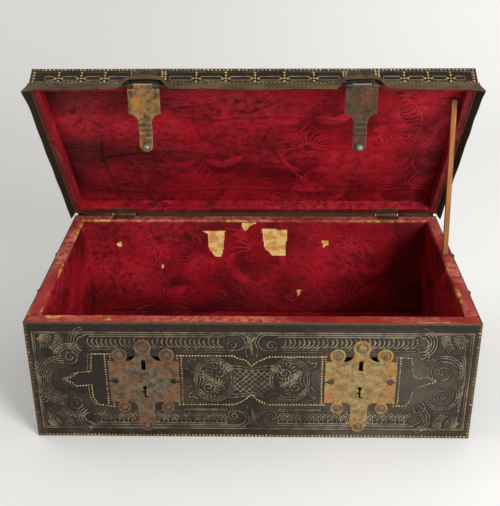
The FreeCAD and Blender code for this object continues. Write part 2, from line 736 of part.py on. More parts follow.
def hasp_strap(side):
    """A plate nailed to the lid's front, with two knuckles below its edge."""
    face = LID_FRONT
    plate = box(("strap_width", "strap_thickness + strap_clearance", "strap_height"),
                (centred("strap_width"), f"{face} - strap_thickness - strap_clearance", LID_RIM))
    ear_width = "(hasp_width/2 - hasp_barrel_width/2)"
    pieces = [plate]
    for x in ("-hasp_width/2", "hasp_barrel_width/2"):
        pieces.append(box((ear_width, "strap_thickness", f"{LID_RIM} + strap_clearance - {PIVOT_Z} - strap_ear_lift"),
                          (x, f"{face} - strap_thickness - strap_clearance", f"{PIVOT_Z} + strap_ear_lift")))
        pieces.append(rod("hasp_barrel_radius", ear_width, (x, PIVOT_Y, PIVOT_Z), "x"))
    bore = rod("hasp_pin_radius + pin_clearance", "hasp_width + 2*overrun",
               ("-hasp_width/2 - overrun", PIVOT_Y, PIVOT_Z), "x")
    return place(cut(fuse(pieces), [bore]), f"{side}{HASP_X}", in_lid=True)


def hasp_pin(side):
    """The rivet that a hasp turns on, with a head at each end."""
    length = "(hasp_width + 2*knuckle_gap)"
    pieces = [rod("hasp_pin_radius", length, (centred(length), "0", "0"), "x"),
              rod("hasp_pin_head", "hasp_pin_head_depth",
                  (f"{centred(length)} - hasp_pin_head_depth", "0", "0"), "x"),
              rod("hasp_pin_head", "hasp_pin_head_depth", (f"{length}/2", "0", "0"), "x")]
    return place(fuse(pieces), f"{side}{HASP_X}", opened_y(PIVOT_Y, PIVOT_Z), opened_z(PIVOT_Y, PIVOT_Z))


def hasp(side):
    """A forged plate that narrows to a tongue, with the lock's staple on its back."""
    def slab(half_width, low, high):
        return box((f"2*{half_width}", "hasp_thickness", f"{high} - ({low})"),
                   (f"-{half_width}", "-hasp_thickness/2", low))

    barrel_half = "(hasp_barrel_width/2 - knuckle_gap)"
    top = "(-hasp_barrel_radius - 2*barrel_clearance)"
    flare = "(hasp_width/2 - hasp_tongue_width/2)"
    shoulder_low = f"(-hasp_shoulder - {flare})"
    scoops = [rod(flare, "hasp_thickness + 2*overrun", (x, "-hasp_thickness/2 - overrun", shoulder_low), "y")
              for x in ("-hasp_width/2", "hasp_width/2")]
    end_centre = "(-hasp_length + hasp_tongue_width/2)"
    pieces = [rod("hasp_barrel_radius", f"2*{barrel_half}", (f"-{barrel_half}", "0", "0"), "x"),
              slab(barrel_half, f"{top} - overrun", "0"), slab("hasp_width/2", "-hasp_shoulder", top),
              cut(slab("hasp_width/2", shoulder_low, "-hasp_shoulder"), scoops),
              slab("hasp_tongue_width/2", end_centre, shoulder_low),
              rod("hasp_tongue_width/2", "hasp_thickness", ("0", "-hasp_thickness/2", end_centre), "y"),
              box(("staple_width", "staple_reach", "staple_height"),
                  ("-staple_width/2", "0", "-staple_below_pivot - staple_height/2"))]
    eye = box(("staple_width + 2*overrun", "staple_eye_far - staple_eye_near", "staple_eye_height"),
              ("-staple_width/2 - overrun", "staple_eye_near", "-staple_below_pivot - staple_eye_height/2"))
    bore = rod("hasp_pin_radius + pin_clearance", "hasp_width", ("-hasp_width/2", "0", "0"), "x")
    return place(cut(fuse(pieces), [eye, bore]), f"{side}{HASP_X}",
                 opened_y(PIVOT_Y, PIVOT_Z), opened_z(PIVOT_Y, PIVOT_Z))


def hasp_knob(side):
    """A domed thumb knob riveted near the end of the tongue."""
    ball = doc.addObject("Part::Sphere", "Knob")
    bind(ball, "Radius", "knob_radius")
    height = "(-hasp_length + knob_above_end)"
    place(ball, "0", "-hasp_thickness/2", height)
    half = box(("2*knob_radius + 2*overrun", "knob_radius + overrun", "2*knob_radius + 2*overrun"),
               ("-knob_radius - overrun", "-hasp_thickness/2", f"{height} - knob_radius - overrun"))
    return place(cut(ball, [half]), f"{side}{HASP_X}",
                 opened_y(PIVOT_Y, PIVOT_Z), opened_z(PIVOT_Y, PIVOT_Z))


# Prop stick


def prop_stick():
    """A square stick from the lid's roof to the right rim, with a rounded top and a bevelled foot."""
    half = value("prop_side")/2
    angle = math.radians(value("lid_open_angle"))
    wall = wall_of_base()
    roof = value("closing_gap")/2 + value("lid_height") - value("lid_leather") \
        - value("lid_board") - value("lid_lining")
    pad = half*(math.sin(angle) + math.cos(angle)) + value("prop_gap")
    local_y = -(value("barrel_radius") + value("barrel_clearance") + value("trunk_depth")) \
        + value("prop_from_front")
    local_z = roof - pad
    hinge_y = value("trunk_depth")/2 + value("barrel_radius") + value("barrel_clearance")
    hinge_z = value("base_height") + value("closing_gap")/2
    top_x = value("trunk_width")/2 - wall - value("prop_top_inset")
    top_y = hinge_y + local_y*math.cos(angle) + local_z*math.sin(angle)
    top_z = hinge_z - local_y*math.sin(angle) + local_z*math.cos(angle)
    foot_x = value("trunk_width")/2 - wall + value("prop_foot_inset")
    foot_z = value("base_height") + value("prop_gap")
    lean = math.atan2(foot_x - top_x, top_z - foot_z)
    side = FreeCAD.Vector(math.cos(lean), 0, math.sin(lean))
    down = FreeCAD.Vector(math.sin(lean), 0, -math.cos(lean))
    top = FreeCAD.Vector(top_x, top_y - half, top_z)
    inner_length = (top_z - foot_z - half*math.sin(lean)) / math.cos(lean)
    outer_length = inner_length - 2*half*math.tan(math.radians(value("prop_foot_bevel")) + lean)
    inner_foot = top - side*half + down*inner_length
    outer_foot = top + side*half + down*outer_length
    crown = Part.Arc(top + side*half, top - down*half, top - side*half).toShape()
    outline = Part.Wire([Part.LineSegment(top - side*half, inner_foot).toShape(),
                         Part.LineSegment(inner_foot, outer_foot).toShape(),
                         Part.LineSegment(outer_foot, top + side*half).toShape(), crown])
    print("prop pivot", round(top_x, 3), round(top_y, 3), round(top_z, 3))
    return solid("PropStick", Part.Face(outline).extrude(FreeCAD.Vector(0, 2*half, 0)))


base_case()
lid_case()
for which in ("front", "left", "right"):
    part(f"lid_{which}_lip", lid_lip(which))
part("prop_stick", prop_stick())
for hand, side in (("left", "-"), ("right", "")):
    part(f"{hand}_lock_plate", lock_plate(side))
    part(f"{hand}_lock_nails", lock_nails(side))
    part(f"{hand}_lock_case", lock_case(side))
    part(f"{hand}_lock_bolt", lock_bolt(side))
    part(f"{hand}_lock_spring", lock_spring(side))
    part(f"{hand}_hinge_base_leaf", hinge_leaf(side, False))
    part(f"{hand}_hinge_lid_leaf", hinge_leaf(side, True))
    part(f"{hand}_hinge_pin", hinge_pin(side))
    part(f"{hand}_handle_staples", handle_staples(side))
    part(f"{hand}_handle_bail", bail(side))
    part(f"{hand}_hasp_strap", hasp_strap(side))
    part(f"{hand}_hasp_pin", hasp_pin(side))
    part(f"{hand}_hasp", hasp(side))
    part(f"{hand}_hasp_knob", hasp_knob(side))
doc.recompute()

faults = []
for thing in doc.Objects:
    if "Invalid" in thing.State or "Error" in thing.State:
        faults.append(f"{thing.Label}: {thing.State}")
for thing in parts:
    if thing.Shape.isNull() or not thing.Shape.isValid() or thing.Shape.Volume <= 0:
        faults.append(f"{thing.Label}: no valid shape")
if faults:
    raise RuntimeError("; ".join(faults))

os.makedirs("parts", exist_ok=True)
for thing in parts:
    thing.Shape.exportStep(os.path.join("parts", f"{thing.Label}.step"))
print(f"{len(parts)} parts")
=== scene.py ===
"""The looks of a leather-covered travelling trunk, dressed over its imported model.

The frame is the trunk's own: +X to the right seen from the front, +Y to the back and +Z up,
with the origin at the centre of the underside. Sizes are written in millimetres and become
metres only where a mesh is made. Lid pieces are laid out on the closed lid, about its hinge
axis, and are then turned open as the lid is.
"""
from __future__ import annotations

import json
import logging
import math
from collections.abc import Iterable
from dataclasses import dataclass, field
from enum import Enum

import bpy
import numpy as np
from mathutils import Matrix, Vector


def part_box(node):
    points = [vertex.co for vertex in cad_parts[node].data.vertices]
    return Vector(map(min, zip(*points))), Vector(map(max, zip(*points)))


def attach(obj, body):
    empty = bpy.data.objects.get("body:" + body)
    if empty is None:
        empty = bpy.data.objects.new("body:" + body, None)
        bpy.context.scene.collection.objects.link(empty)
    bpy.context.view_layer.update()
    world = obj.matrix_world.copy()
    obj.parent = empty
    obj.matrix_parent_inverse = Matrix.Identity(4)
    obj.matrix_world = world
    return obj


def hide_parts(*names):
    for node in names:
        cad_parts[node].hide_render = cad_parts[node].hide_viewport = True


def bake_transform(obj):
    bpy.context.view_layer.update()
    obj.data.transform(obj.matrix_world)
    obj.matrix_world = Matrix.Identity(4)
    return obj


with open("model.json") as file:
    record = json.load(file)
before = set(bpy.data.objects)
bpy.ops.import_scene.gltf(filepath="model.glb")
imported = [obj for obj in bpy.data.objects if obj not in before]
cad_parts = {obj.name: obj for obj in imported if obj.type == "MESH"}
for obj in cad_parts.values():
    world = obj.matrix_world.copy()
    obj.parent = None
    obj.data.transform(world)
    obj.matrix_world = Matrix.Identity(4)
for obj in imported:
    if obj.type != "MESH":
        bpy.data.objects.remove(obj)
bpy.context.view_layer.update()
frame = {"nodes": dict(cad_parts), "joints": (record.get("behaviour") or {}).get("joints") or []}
MM = 0.001
TINY = 1e-9
SEED = 1740
UP = (0, 0, 1)
log = logging.getLogger("trunk")

Array = np.ndarray
Piece = bpy.types.Object
Material = bpy.types.Material
Pair = tuple[float, float]
Triple = tuple[float, float, float]
Window = tuple[float, float, float, float]
Colour = tuple[float, float, float, float]


def rgb(red: float, green: float, blue: float) -> Colour:
    """Turns a colour as the eye names it into the linear light that shaders use.

    Args:
        red: The red part, 0 to 255.
        green: The green part.
        blue: The blue part.

    Returns:
        The linear colour with full alpha.
    """
    parts = [part / 255 for part in (red, green, blue)]
    return (*(part / 12.92 if part < 0.04045 else ((part + 0.055) / 1.055) ** 2.4 for part in parts), 1.0)


@dataclass(frozen=True)
class Value:
    """A socket of a shader tree that takes part in sums as a number does."""

    tree: Tree
    socket: bpy.types.NodeSocket

    def __add__(self, other: Value | float) -> Value:
        """This value and another, added."""
        return self.tree.maths("ADD", self, other)

    def __sub__(self, other: Value | float) -> Value:
        """This value less another."""
        return self.tree.maths("SUBTRACT", self, other)

    def __rsub__(self, other: float) -> Value:
        """A number less this value."""
        return self.tree.maths("SUBTRACT", other, self)

    def __mul__(self, other: Value | float) -> Value:
        """This value and another, multiplied."""
        return self.tree.maths("MULTIPLY", self, other)

    __radd__ = __add__
    __rmul__ = __mul__

    def over(self, low: float, high: float) -> Value:
        """A smooth step: 0 up to low, 1 from high on; with low above high it falls instead.

        Args:
            low: Where the step starts.
            high: Where it ends.

        Returns:
            The step, between 0 and 1.
        """
        limits = {"Value": self, "From Min": low, "From Max": high}
        return self.tree.node("ShaderNodeMapRange", {"interpolation_type": "SMOOTHSTEP"}, limits)


class Tree:
    """The shader tree of one material."""

    def __init__(self, name: str, **constants: float | Colour) -> None:
        """Starts a material with a Principled shader.

        Args:
            name: The material's name.
            **constants: What is the same all over, by socket name with _ for a space.
        """
        self.material = bpy.data.materials.new(name)
        self.material.use_nodes = True
        self.nodes = self.material.node_tree.nodes
        self.links = self.material.node_tree.links
        self.shader = self.nodes["Principled BSDF"]
        self.finish(**constants)
        self.place = self.node("ShaderNodeTexCoord", output="Object")

    def node(self, kind: str, settings: dict | None = None, inputs: dict | None = None,
             output: str | int = 0) -> Value:
        """Adds one node, set up first and then fed.

        Args:
            kind: The node's type.
            settings: The node's own properties.
            inputs: What its sockets get, a number, a colour or a value, by name or number.
            output: The socket that the result leaves by.

        Returns:
            The output, ready for more sums.
        """
        node = self.nodes.new(kind)
        for name, setting in (settings or {}).items():
            setattr(node, name, setting)
        for name, source in (inputs or {}).items():
            self.feed(node.inputs[name], source)
        return Value(self, node.outputs[output])

    def feed(self, socket: bpy.types.NodeSocket, source: Value | float | Colour) -> None:
        """Links a value to a socket, or sets a plain number or colour on it.

        Args:
            socket: The socket.
            source: What it gets.
        """
        if isinstance(source, Value):
            self.links.new(source.socket, socket)
        else:
            socket.default_value = source

    def maths(self, operation: str, *terms: Value | float) -> Value:
        """One Math node over its terms."""
        return self.node("ShaderNodeMath", {"operation": operation}, dict(enumerate(terms)))

    def blend(self, share: Value | float, first: Value | Colour, second: Value | Colour) -> Value:
        """Mixes two colours: the first where the share is 0 and the second where it is 1."""
        return self.node("ShaderNodeMix", {"data_type": "RGBA"}, {0: share, 6: first, 7: second}, 2)

    def grain(self, size: float, detail: float = 3, roughness: float = 0.55,
              stretch: Triple = (1, 1, 1)) -> Value:
        """Cloudy noise around 0.5.

        Args:
            size: The size of a cloud, in millimetres.
            detail: How many finer layers it has.
            roughness: How strong the finer layers are.
            stretch: How much longer the clouds are along X, Y and Z.

        Returns:
            The noise.
        """
        scale = tuple(1 / part for part in stretch)
        place = self.node("ShaderNodeMapping", None, {"Vector": self.place, "Scale": scale})
        inputs = {"Vector": place, "Scale": 1 / (size * MM), "Detail": detail, "Roughness": roughness}
        return self.node("ShaderNodeTexNoise", None, inputs)

    def cells(self, size: float) -> Value:
        """Distance to the nearest of scattered points, as pores and pits have."""
        inputs = {"Vector": self.place, "Scale": 1 / (size * MM)}
        return self.node("ShaderNodeTexVoronoi", None, inputs)

    def attribute(self, name: str) -> Value:
        """A value that the mesh keeps at each of its points."""
        return self.node("ShaderNodeAttribute", {"attribute_name": name}, None, "Fac")

    def axis(self, name: str) -> Value:
        """One of the Object coordinates, in metres."""
        return self.node("ShaderNodeSeparateXYZ", None, {0: self.place}, name)

    def bump(self, height: Value, depth: float) -> Value:
        """Turns a height into a normal, where a height of 1 measures the depth in millimetres."""
        return self.node("ShaderNodeBump", None, {"Strength": 1.0, "Distance": depth * MM, "Height": height})

    def finish(self, **sockets: Value | float | Colour) -> Material:
        """Feeds the shader, by socket name with _ for a space.

        Args:
            **sockets: What its sockets get, such as Base_Color and Normal.

        Returns:
            The material.
        """
        for name, source in sockets.items():
            self.feed(self.shader.inputs[name.replace("_", " ")], source)
        return self.material


@dataclass(frozen=True)
class TooledLeather:
    """Old dark leather with blind tooling: raised lines, worn pale, in pressed troughs.

    A mesh that wears it keeps its distance to the nearest tooled line in mm as "line", how
    plain and smooth the leather is as "plain", how rubbed as "worn", and how much dust and a
    painted sheen grey it as "dust_and_sheen", with painted glints on the ridges there.
    """

    name: str = "tooled_leather"
    ground: Colour = rgb(60, 48, 36)
    trough: Colour = rgb(20, 15, 12)
    ridge: Colour = rgb(124, 107, 82)
    smooth: Colour = rgb(31, 23, 19)
    rubbed: Colour = rgb(104, 78, 48)
    haze: Colour = rgb(108, 101, 90)
    glint: Colour = rgb(176, 166, 146)

    def material(self) -> Material:
        """Mixes the finish from the tooled lines, the leather's own clouds, its wear and dust, and painted
        sheen, glints and shade.

        Returns:
            The material.
        """
        tree = Tree(self.name, Specular_IOR_Level=0.24)
        line, dust_and_sheen = tree.attribute("line"), tree.attribute("dust_and_sheen")
        ridge = line.over(0.78, 0.2)
        trough = line.over(2.6, 1.1) * (1 - ridge)
        clouds = tree.grain(34, 5, 0.6)
        fine = tree.grain(2.6, 4, 0.7)
        ground = tree.blend(clouds.over(0.3, 0.72), self.trough, self.ground)
        ground = tree.blend(tree.attribute("plain") * 0.85, ground, self.smooth)
        ground = tree.blend(fine.over(0.55, 0.75) * 0.22, ground, self.ridge)
        # Dust and a painted sheen: the haze colour greys the leather by the mask read above.
        ground = tree.blend(dust_and_sheen * (0.3 + 0.5 * clouds), ground, self.haze)
        # The pressed troughs are darkened: partly the burnish of the tool, partly painted shade.
        ground = tree.blend(trough * 0.85, ground, self.trough)
        shown = ridge * (0.2 + 0.75 * tree.grain(22, 5, 0.7).over(0.38, 0.62))
        ground = tree.blend(shown, ground, self.ridge)
        # Painted glints: the ridges turn pale where the painted sheen lies.
        ground = tree.blend(shown * dust_and_sheen * 0.6, ground, self.glint)
        worn = (tree.attribute("worn") + 0.8 * fine - 0.4).over(0.35, 0.75)
        height = 0.8 * ridge - 0.4 * trough + 0.14 * fine + 0.07 * tree.cells(1.7)
        return tree.finish(Base_Color=tree.blend(worn * 0.7, ground, self.rubbed),
                           Roughness=0.34 + 0.2 * clouds + 0.16 * fine - 0.14 * ridge,
                           Normal=tree.bump(height, 1.3))


@dataclass(frozen=True)
class LipLeather:
    """The lid's flared weather lip: thick hide, olive brown, dry in front, with painted shade on its ends."""

    name: str = "lip_leather"
    hide: Colour = rgb(72, 55, 32)
    dry: Colour = rgb(106, 86, 52)
    dirt: Colour = rgb(26, 20, 14)

    def material(self) -> Material:
        """Mixes the finish from streaks along the lip, painted shade at its ends and dark scuffs.

        Returns:
            The material.
        """
        tree = Tree(self.name, Specular_IOR_Level=0.35)
        streaks = tree.grain(7, 5, 0.65, (9, 9, 1))
        fine = tree.grain(1.4, 3, 0.6)
        colour = tree.blend(streaks.over(0.38, 0.68), self.hide, self.dry)
        # The first share is painted shade on the lip's ends and a little dirt in front; the others are
        # scuffs.
        for share in (tree.attribute("soiled_and_shade") * 0.92, tree.grain(19, 5, 0.65).over(0.52, 0.72),
                      fine.over(0.6, 0.8) * 0.4):
            colour = tree.blend(share, colour, self.dirt)
        return tree.finish(Base_Color=colour, Roughness=0.5 + 0.3 * streaks,
                           Normal=tree.bump(0.6 * streaks + 0.4 * fine, 0.4))


@dataclass(frozen=True)
class Metal:
    """A worn metal: bare on its high places, with rust and dirt in blotches.

    The share of rust is set by where the noise's step lies. "crust" on a mesh adds rust,
    "deep" adds dirt where it lies low, and "filed_and_glint" brightens its edges: partly
    rubbed bare, partly a painted highlight.
    """

    name: str
    bare: Colour
    tarnish: Colour
    rust: Colour
    dirt: Colour
    rust_from: float = 0.4
    rust_to: float = 0.66
    metallic: float = 0.75
    roughness: float = 0.38
    blotch: float = 17
    polish_and_glint: Colour = rgb(196, 180, 152)

    def material(self) -> Material:
        """Mixes the finish from bare metal, tarnish, rust, dirt and bright edges that are partly a painted
        highlight.

        Returns:
            The material.
        """
        tree = Tree(self.name, Specular_IOR_Level=0.5)
        fine = tree.grain(2.2, 5, 0.7)
        rust = tree.grain(self.blotch, 6, 0.72) + 0.28 * fine - 0.14 + 0.4 * tree.attribute("crust")
        rust = rust.over(self.rust_from, self.rust_to)
        bare = tree.blend(tree.grain(self.blotch * 0.7, 4, 0.6).over(0.36, 0.66), self.bare, self.tarnish)
        colour = tree.blend(rust * 0.85, bare, self.rust)
        grime = tree.grain(self.blotch * 0.45, 5, 0.7) * 0.6 + fine * 0.4 + 0.5 * tree.attribute("deep")
        grime = grime.over(0.5, 0.68)
        colour = tree.blend(grime * 0.7, colour, self.dirt)
        # Bright edges: partly rubbed bare metal, partly a painted highlight.
        colour = tree.blend(tree.attribute("filed_and_glint") * (0.35 + 0.6 * fine), colour, self.polish_and_glint)
        return tree.finish(Base_Color=colour, Metallic=self.metallic * (1 - 0.8 * rust) * (1 - 0.7 * grime),
                           Roughness=self.roughness + 0.36 * rust + 0.12 * fine,
                           Normal=tree.bump(0.55 * fine + 0.2 * rust + 0.25 * tree.cells(1.1), 0.8))


@dataclass(frozen=True)
class Brass:
    """Domed brass studs: bright on top, brown where they meet the leather.

    "lift" on a stud runs from 0 at its foot to 1 at its crown, and "tone" tells the studs
    apart: 0 for the dark and rusty, 1 for the bright.
    """

    name: str = "brass_studs"
    bright: Colour = rgb(192, 164, 110)
    dull: Colour = rgb(100, 78, 48)
    foot: Colour = rgb(36, 27, 19)

    def material(self) -> Material:
        """Mixes the finish from the crown's shine and a darker colour towards the foot.

        Returns:
            The material.
        """
        tree = Tree(self.name, Specular_IOR_Level=0.5)
        lift = tree.attribute("lift")
        tone = tree.attribute("tone") + 0.7 * tree.grain(9, 3, 0.6) - 0.35
        colour = tree.blend(tone.over(0.15, 0.85), self.dull, self.bright)
        colour = tree.blend(lift.over(0.5, 0.12), colour, self.foot)
        return tree.finish(Base_Color=colour, Metallic=0.75 * lift.over(0.1, 0.5),
                           Roughness=0.56 - 0.26 * lift.over(0.2, 0.9))


@dataclass(frozen=True)
class Damask:
    """Crimson figured silk with satin leaves, worn pale, with stains and tears in places, and painted shade
    and sheen.

    The mesh keeps the distance to the nearest woven stroke in mm as "line", the satin leaves
    as "leaf", tears as "torn", dark stains and painted shade as "stain_and_shade" and rubbed or
    worn-pale cloth as "worn".
    """

    name: str
    ground: Colour
    satin: Colour
    shade: Colour
    faded_and_sheen: Colour
    paper: Colour = rgb(248, 214, 140)
    glue: Colour = rgb(226, 158, 80)
    dark_stain_and_shade: Colour = rgb(34, 8, 9)
    bloom: float = 0.55

    def material(self) -> Material:
        """Mixes the finish from the woven figure, fading, stains, painted shade and sheen, and what tears
        uncover.

        Returns:
            The material.
        """
        tree = Tree(self.name, Specular_IOR_Level=0.2, Sheen_Weight=0.08, Sheen_Roughness=0.4,
                    Sheen_Tint=self.faded_and_sheen)
        line = tree.attribute("line")
        stroke = line.over(1.5, 0.6)
        figure = (stroke * 0.8 + tree.attribute("leaf") * 0.3).over(0, 1)
        hollow = line.over(3.6, 2.0) * (1 - stroke)
        mottle = tree.grain(11, 5, 0.65)
        rubbed = 0.3 + 0.7 * tree.grain(58, 4, 0.6).over(0.42, 0.6)
        threads = tree.grain(0.9, 2, 0.6, (7, 7, 1))
        # Large dark clouds over the ground: painted shade of broad folds.
        colour = tree.blend(tree.grain(85, 4, 0.55).over(0.34, 0.62) * 0.9, self.ground, self.shade)
        # Painted shade and sheen: small dark and pale blotches, and a dark halo beside each woven stroke; the
        # last share is real stains and painted shade.
        for share, shown in ((mottle.over(0.5, 0.3) * 0.35, self.shade), (hollow * 0.45 * rubbed, self.shade),
                             (figure * (0.2 + self.bloom * mottle) * rubbed, self.satin),
                             (mottle.over(0.56, 0.72) * 0.28, self.faded_and_sheen),
                             (tree.attribute("worn") * mottle.over(0.35, 0.6), self.faded_and_sheen),
                             (tree.attribute("stain_and_shade") * 0.85, self.dark_stain_and_shade)):
            colour = tree.blend(share, colour, shown)
        torn = (tree.attribute("torn") + 0.22 * mottle - 0.11).over(0.42, 0.55)
        under = tree.blend(tree.grain(14, 5, 0.65).over(0.42, 0.6), self.paper, self.glue)
        height = 0.4 * figure + 0.25 * threads + 0.4 * mottle - 0.3 * torn
        return tree.finish(Base_Color=tree.blend(torn, colour, under),
                           Roughness=0.62 + 0.12 * threads - 0.16 * figure + 0.15 * torn,
                           Normal=tree.bump(height, 0.4))


@dataclass(frozen=True)
class Timber:
    """Plain sawn wood with its grain along one axis."""

    name: str
    light: Colour
    dark: Colour
    along: Triple = (14, 1, 1)
    ring: float = 5

    def material(self) -> Material:
        """Mixes the finish from long streaks, fine fibres and a few dark marks.

        Returns:
            The material.
        """
        tree = Tree(self.name, Specular_IOR_Level=0.35)
        rings = tree.grain(self.ring, 5, 0.6, self.along)
        fibres = tree.grain(self.ring * 0.16, 3, 0.7, self.along)
        colour = tree.blend((rings * 0.7 + fibres * 0.3).over(0.34, 0.66), self.light, self.dark)
        colour = tree.blend(tree.grain(26, 4, 0.6).over(0.6, 0.78) * 0.5, colour, self.dark)
        return tree.finish(Base_Color=colour, Roughness=0.55 + 0.2 * fibres,
                           Normal=tree.bump(0.5 * rings + 0.5 * fibres, 0.3))


@dataclass(frozen=True)
class Studio:
    """Pale seamless paper under and behind the trunk, with painted shade darkening it to the back and the
    left.
    """

    name: str = "studio_paper"
    bright: Colour = rgb(249, 249, 248)
    dim: Colour = rgb(226, 225, 223)

    def material(self) -> Material:
        """Mixes the paper's colour with painted shade by how far back and to the left it lies.

        Returns:
            The material.
        """
        tree = Tree(self.name, Roughness=0.9, Specular_IOR_Level=0.1)
        # Painted shade: darker to the back and the left, lighter to the front and the right.
        dim = (tree.axis("Y") * 0.45 - tree.axis("X")).over(-0.5, 1.6)
        return tree.finish(Base_Color=tree.blend(dim, self.bright, self.dim))


class Finish(Enum):
    """The trunk's finishes, each named as its slot in the record."""

    WOOD = "wood"
    TOOLED = "tooled_leather"
    LIP = "lip_leather"
    DAMASK = "damask"
    RIM = "rim_damask"
    RUSTY = "rusty_iron"
    DARK = "dark_iron"
    LOCK = "lock_iron"
    STICK = "stick_wood"


RECIPES = {
    Finish.WOOD: Timber("wood", rgb(150, 112, 72), rgb(92, 62, 38)),
    Finish.TOOLED: TooledLeather(),
    Finish.LIP: LipLeather(),
    Finish.DAMASK: Damask("damask", rgb(160, 11, 27), rgb(214, 40, 62), rgb(84, 3, 10), rgb(188, 40, 54),
                          bloom=0.65),
    Finish.RIM: Damask("rim_damask", rgb(168, 52, 50), rgb(140, 20, 30), rgb(138, 28, 32), rgb(206, 118, 96),
                       paper=rgb(222, 168, 84), glue=rgb(140, 84, 34), bloom=0.5),
    Finish.RUSTY: Metal("rusty_iron", rgb(150, 138, 104), rgb(118, 106, 76), rgb(160, 96, 44),
                        rgb(70, 52, 34), rust_from=0.47, rust_to=0.6, metallic=0.35),
    Finish.DARK: Metal("dark_iron", rgb(78, 72, 64), rgb(52, 46, 40), rgb(96, 66, 40), rgb(30, 25, 21),
                       rust_from=0.52, rust_to=0.68, metallic=0.6, roughness=0.42, blotch=11),
    Finish.LOCK: Metal("lock_iron", rgb(74, 66, 54), rgb(48, 42, 36), rgb(84, 54, 30), rgb(22, 18, 15)),
    Finish.STICK: Timber("stick_wood", rgb(178, 118, 62), rgb(132, 80, 38), (1, 1, 16), 3.4),
}
LOOKS = (
    Brass(),
    Studio(),
    Metal("pale_trim", rgb(152, 140, 112), rgb(108, 98, 76), rgb(100, 82, 58), rgb(50, 42, 34), metallic=0.4),
    Metal("brown_plate", rgb(118, 106, 84), rgb(64, 53, 39), rgb(118, 76, 38), rgb(32, 22, 16), metallic=0.5),
    Metal("ochre_plate", rgb(172, 148, 98), rgb(124, 104, 64), rgb(162, 112, 54), rgb(58, 42, 28),
          metallic=0.45),
    Metal("hasp_ochre", rgb(142, 112, 70), rgb(76, 54, 33), rgb(172, 110, 38), rgb(34, 23, 17), metallic=0.5,
          blotch=13),
    Metal("hasp_brown", rgb(86, 62, 37), rgb(48, 33, 22), rgb(100, 57, 26), rgb(24, 17, 13), metallic=0.5,
          blotch=13),
    Metal("hinge_iron", rgb(112, 88, 60), rgb(80, 58, 38), rgb(112, 66, 42), rgb(40, 28, 21), metallic=0.5),
    Metal("knob_iron", rgb(170, 164, 152), rgb(110, 104, 94), rgb(100, 76, 50), rgb(34, 28, 24), metallic=0.9,
          roughness=0.26, blotch=6),
    Damask("lid_rim_silk", rgb(132, 18, 25), rgb(156, 32, 42), rgb(86, 10, 14), rgb(158, 42, 46),
           paper=rgb(122, 32, 32), glue=rgb(92, 20, 22)),
)
MATERIALS: dict[str, Material] = {}


def dress(piece: Piece, finish: Finish, *nodes: str, look: str | None = None) -> None:
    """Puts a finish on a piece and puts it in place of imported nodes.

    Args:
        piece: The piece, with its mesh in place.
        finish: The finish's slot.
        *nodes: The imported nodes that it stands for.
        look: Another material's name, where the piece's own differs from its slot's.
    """
    piece.data.materials.clear()
    piece.data.materials.append(MATERIALS[look or finish.value])
    if nodes:
        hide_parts(*nodes)


@dataclass(frozen=True)
class Trunk:
    """The trunk's driving dimensions, in millimetres and degrees."""

    width: float = 700
    depth: float = 376
    height: float = 220
    lid_height: float = 36
    open_angle: float = 57.4
    skin: float = 2
    base_wall: float = 22
    floor_top: float = 16
    rim: float = 4
    lining: float = 2
    lid_wall: float = 14
    lid_roof: float = 22.5
    lid_rim: float = 0.5
    lid_back: float = -3.6
    lock_x: float = 169.5
    hinge_x: float = 255
    hinge_width: float = 41
    leaf: float = 1.6
    leaf_depth: float = 15
    fit: float = 0.2

    @property
    def lid_front(self) -> float:
        """The closed lid's front face, back from the hinge axis."""
        return self.lid_back - self.depth

    @property
    def lid_top(self) -> float:
        """The closed lid's top, up from the hinge axis."""
        return self.lid_rim + self.lid_height


TRUNK = Trunk()
HINGE = np.array([joint["pos_m"] for joint in frame["joints"] if joint["name"] == "lid_hinge"][0]) / MM


def opened(points: Array) -> Array:
    """Turns points of the closed lid, about its hinge axis, to where the open lid has them.

    Args:
        points: Places across, back from and up from the hinge axis.

    Returns:
        The places in the trunk's frame.
    """
    turn = math.radians(TRUNK.open_angle)
    x, y, z = np.moveaxis(points, -1, 0)
    back = HINGE[1] + y * math.cos(turn) + z * math.sin(turn)
    up = HINGE[2] - y * math.sin(turn) + z * math.cos(turn)
    return np.stack([x, back, up], -1)


def unit(numbers: Array) -> Array:
    """Numbers held between 0 and 1."""
    return np.clip(numbers, 0, 1)


def bell(distance: Array, spread: float) -> Array:
    """A bell curve: 1 at no distance, and falling away smoothly over the spread."""
    return np.exp(-(distance / spread) ** 2)


@dataclass(frozen=True)
class Place:
    """A flat place on the trunk: where its low left corner is and which ways it runs."""

    corner: Triple
    across: Triple
    up: Triple
    out: Triple
    on_lid: bool = False

    def points(self, u: Array, v: Array, w: Array) -> Array:
        """The points that lie u across, v up and w out from the corner."""
        spots = (np.array(self.corner) + u[..., None] * np.array(self.across)
                 + v[..., None] * np.array(self.up) + w[..., None] * np.array(self.out))
        return opened(spots) if self.on_lid else spots


